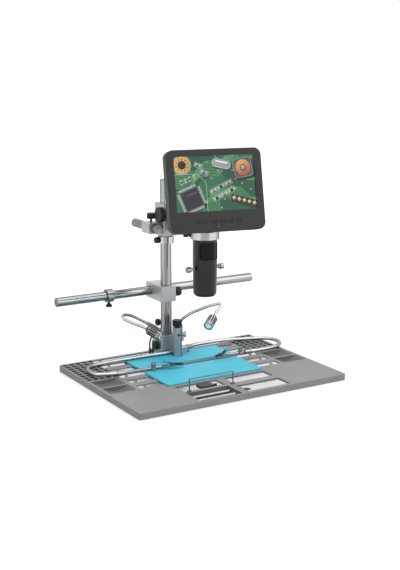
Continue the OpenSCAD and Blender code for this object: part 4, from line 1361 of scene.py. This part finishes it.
def cad_dressing() -> SolidDressing:
    """Returns the finishes and edge roundings of the CAD solids that stay visible.

    Returns:
        The dressing, ready to be used.
    """
    f = Finishes
    from_stand = ScreenUnit().place().inverted()
    finishes = {
        "base_left_half": f.BASE, "base_right_half": f.BASE, "base_feet": f.RUBBER,
        "cross_rails": f.RAIL, "rail_screws": f.SCREW, "tray_plates": f.RAIL, "tray_tools": f.SCREW,
        "back_mat": f.MAT, "front_mat": f.MAT, "socket_block": f.ALLOY, "socket_knob": f.KNOB,
        "column_tube": f.CHROME_Z, "front_post": f.POST, "post_knob": f.KNOB,
        "post_thumb_screw": f.SCREW, "lamp_bracket": f.ALLOY, "bracket_knob": f.KNOB,
        "arm_hub": f.ALLOY, "clip_rods": f.CHROME_X, "left_clip_screw": f.SCREW,
        "right_clip_screw": f.SCREW, "wire_rest": f.WIRE, "boom_clamp": f.ALLOY,
        "boom_clamp_knob": f.KNOB, "boom_bar": f.CHROME_X, "boom_collar": f.CHROME_X,
        "boom_collar_knob": f.KNOB, "stop_collar": f.RING, "stop_collar_knob": f.KNOB,
        "carriage": f.ALLOY, "carriage_lock_knob": f.KNOB, "side_rod": f.CHROME_Y,
        "side_rod_knob": f.KNOB, "focus_knobs": f.KNOB, "focus_slide": f.RING, "ring_screw": f.KNOB,
        "barrel": f.BARREL, "focus_wheel": f.WHEEL, "lens_cell": f.SHELL, "camera_boards": f.BOARD,
        "lens_lock_left": f.SCREW, "lens_lock_right": f.SCREW, "swivel_neck": f.SHELL,
        "screen_bezel": f.HOUSING, "screen_back": f.SHELL, "screen_inside": f.GLASS,
        "screen_bracket": f.SHELL,
    }
    finishes.update({f"button_{i}": f.BUTTON for i in range(1, 7)})
    zones = {
        # the base's cells and trays take the darker finish: painted shade
        "base_left_half": (f.RECESS, in_recess), "base_right_half": (f.RECESS, in_recess),
        "column_tube": (f.KNOB, lambda p: p.z > CAP_Z),
        # the bezel's sides take the darker shell finish: painted shade
        "screen_bezel": (f.SHELL, lambda p: (from_stand @ p).y > BEZEL_SHADE_DEPTH),
        "tray_tools": (f.KNOB, lambda p: p.y > MAGNET_Y),
        "focus_knobs": (f.SCREW, lambda p: abs(p.x) < SHAFT_X),
        "focus_slide": (f.ALLOY, lambda p: math.hypot(p.x, p.y - BARREL_Y) > RING_R),
    }
    rounded = {"base_left_half": 0.4, "base_right_half": 0.4, "back_mat": 0.7, "front_mat": 0.7,
               "socket_block": 0.5, "boom_clamp": 0.7, "carriage": 0.6, "arm_hub": 0.4,
               "cross_rails": 0.25, "tray_plates": 0.25, "front_post": 0.5, "boom_collar": 0.6,
               "stop_collar": 0.6, "screen_bezel": 0.3, "screen_back": 0.4}
    return SolidDressing(finishes, rounded, zones)


def main() -> None:
    """Builds the studio, dresses the solids and builds the detailed pieces."""
    logging.basicConfig(level=logging.INFO, format="%(name)s: %(message)s")
    studio = Studio()
    studio.camera()
    studio.build()
    cad_dressing().dress()
    FlexParts().build()
    BenchLamps().build()
    ClipJaws().build()
    LampLeads().build()
    ScreenUnit().build()


if __name__ == "__main__":
    main()
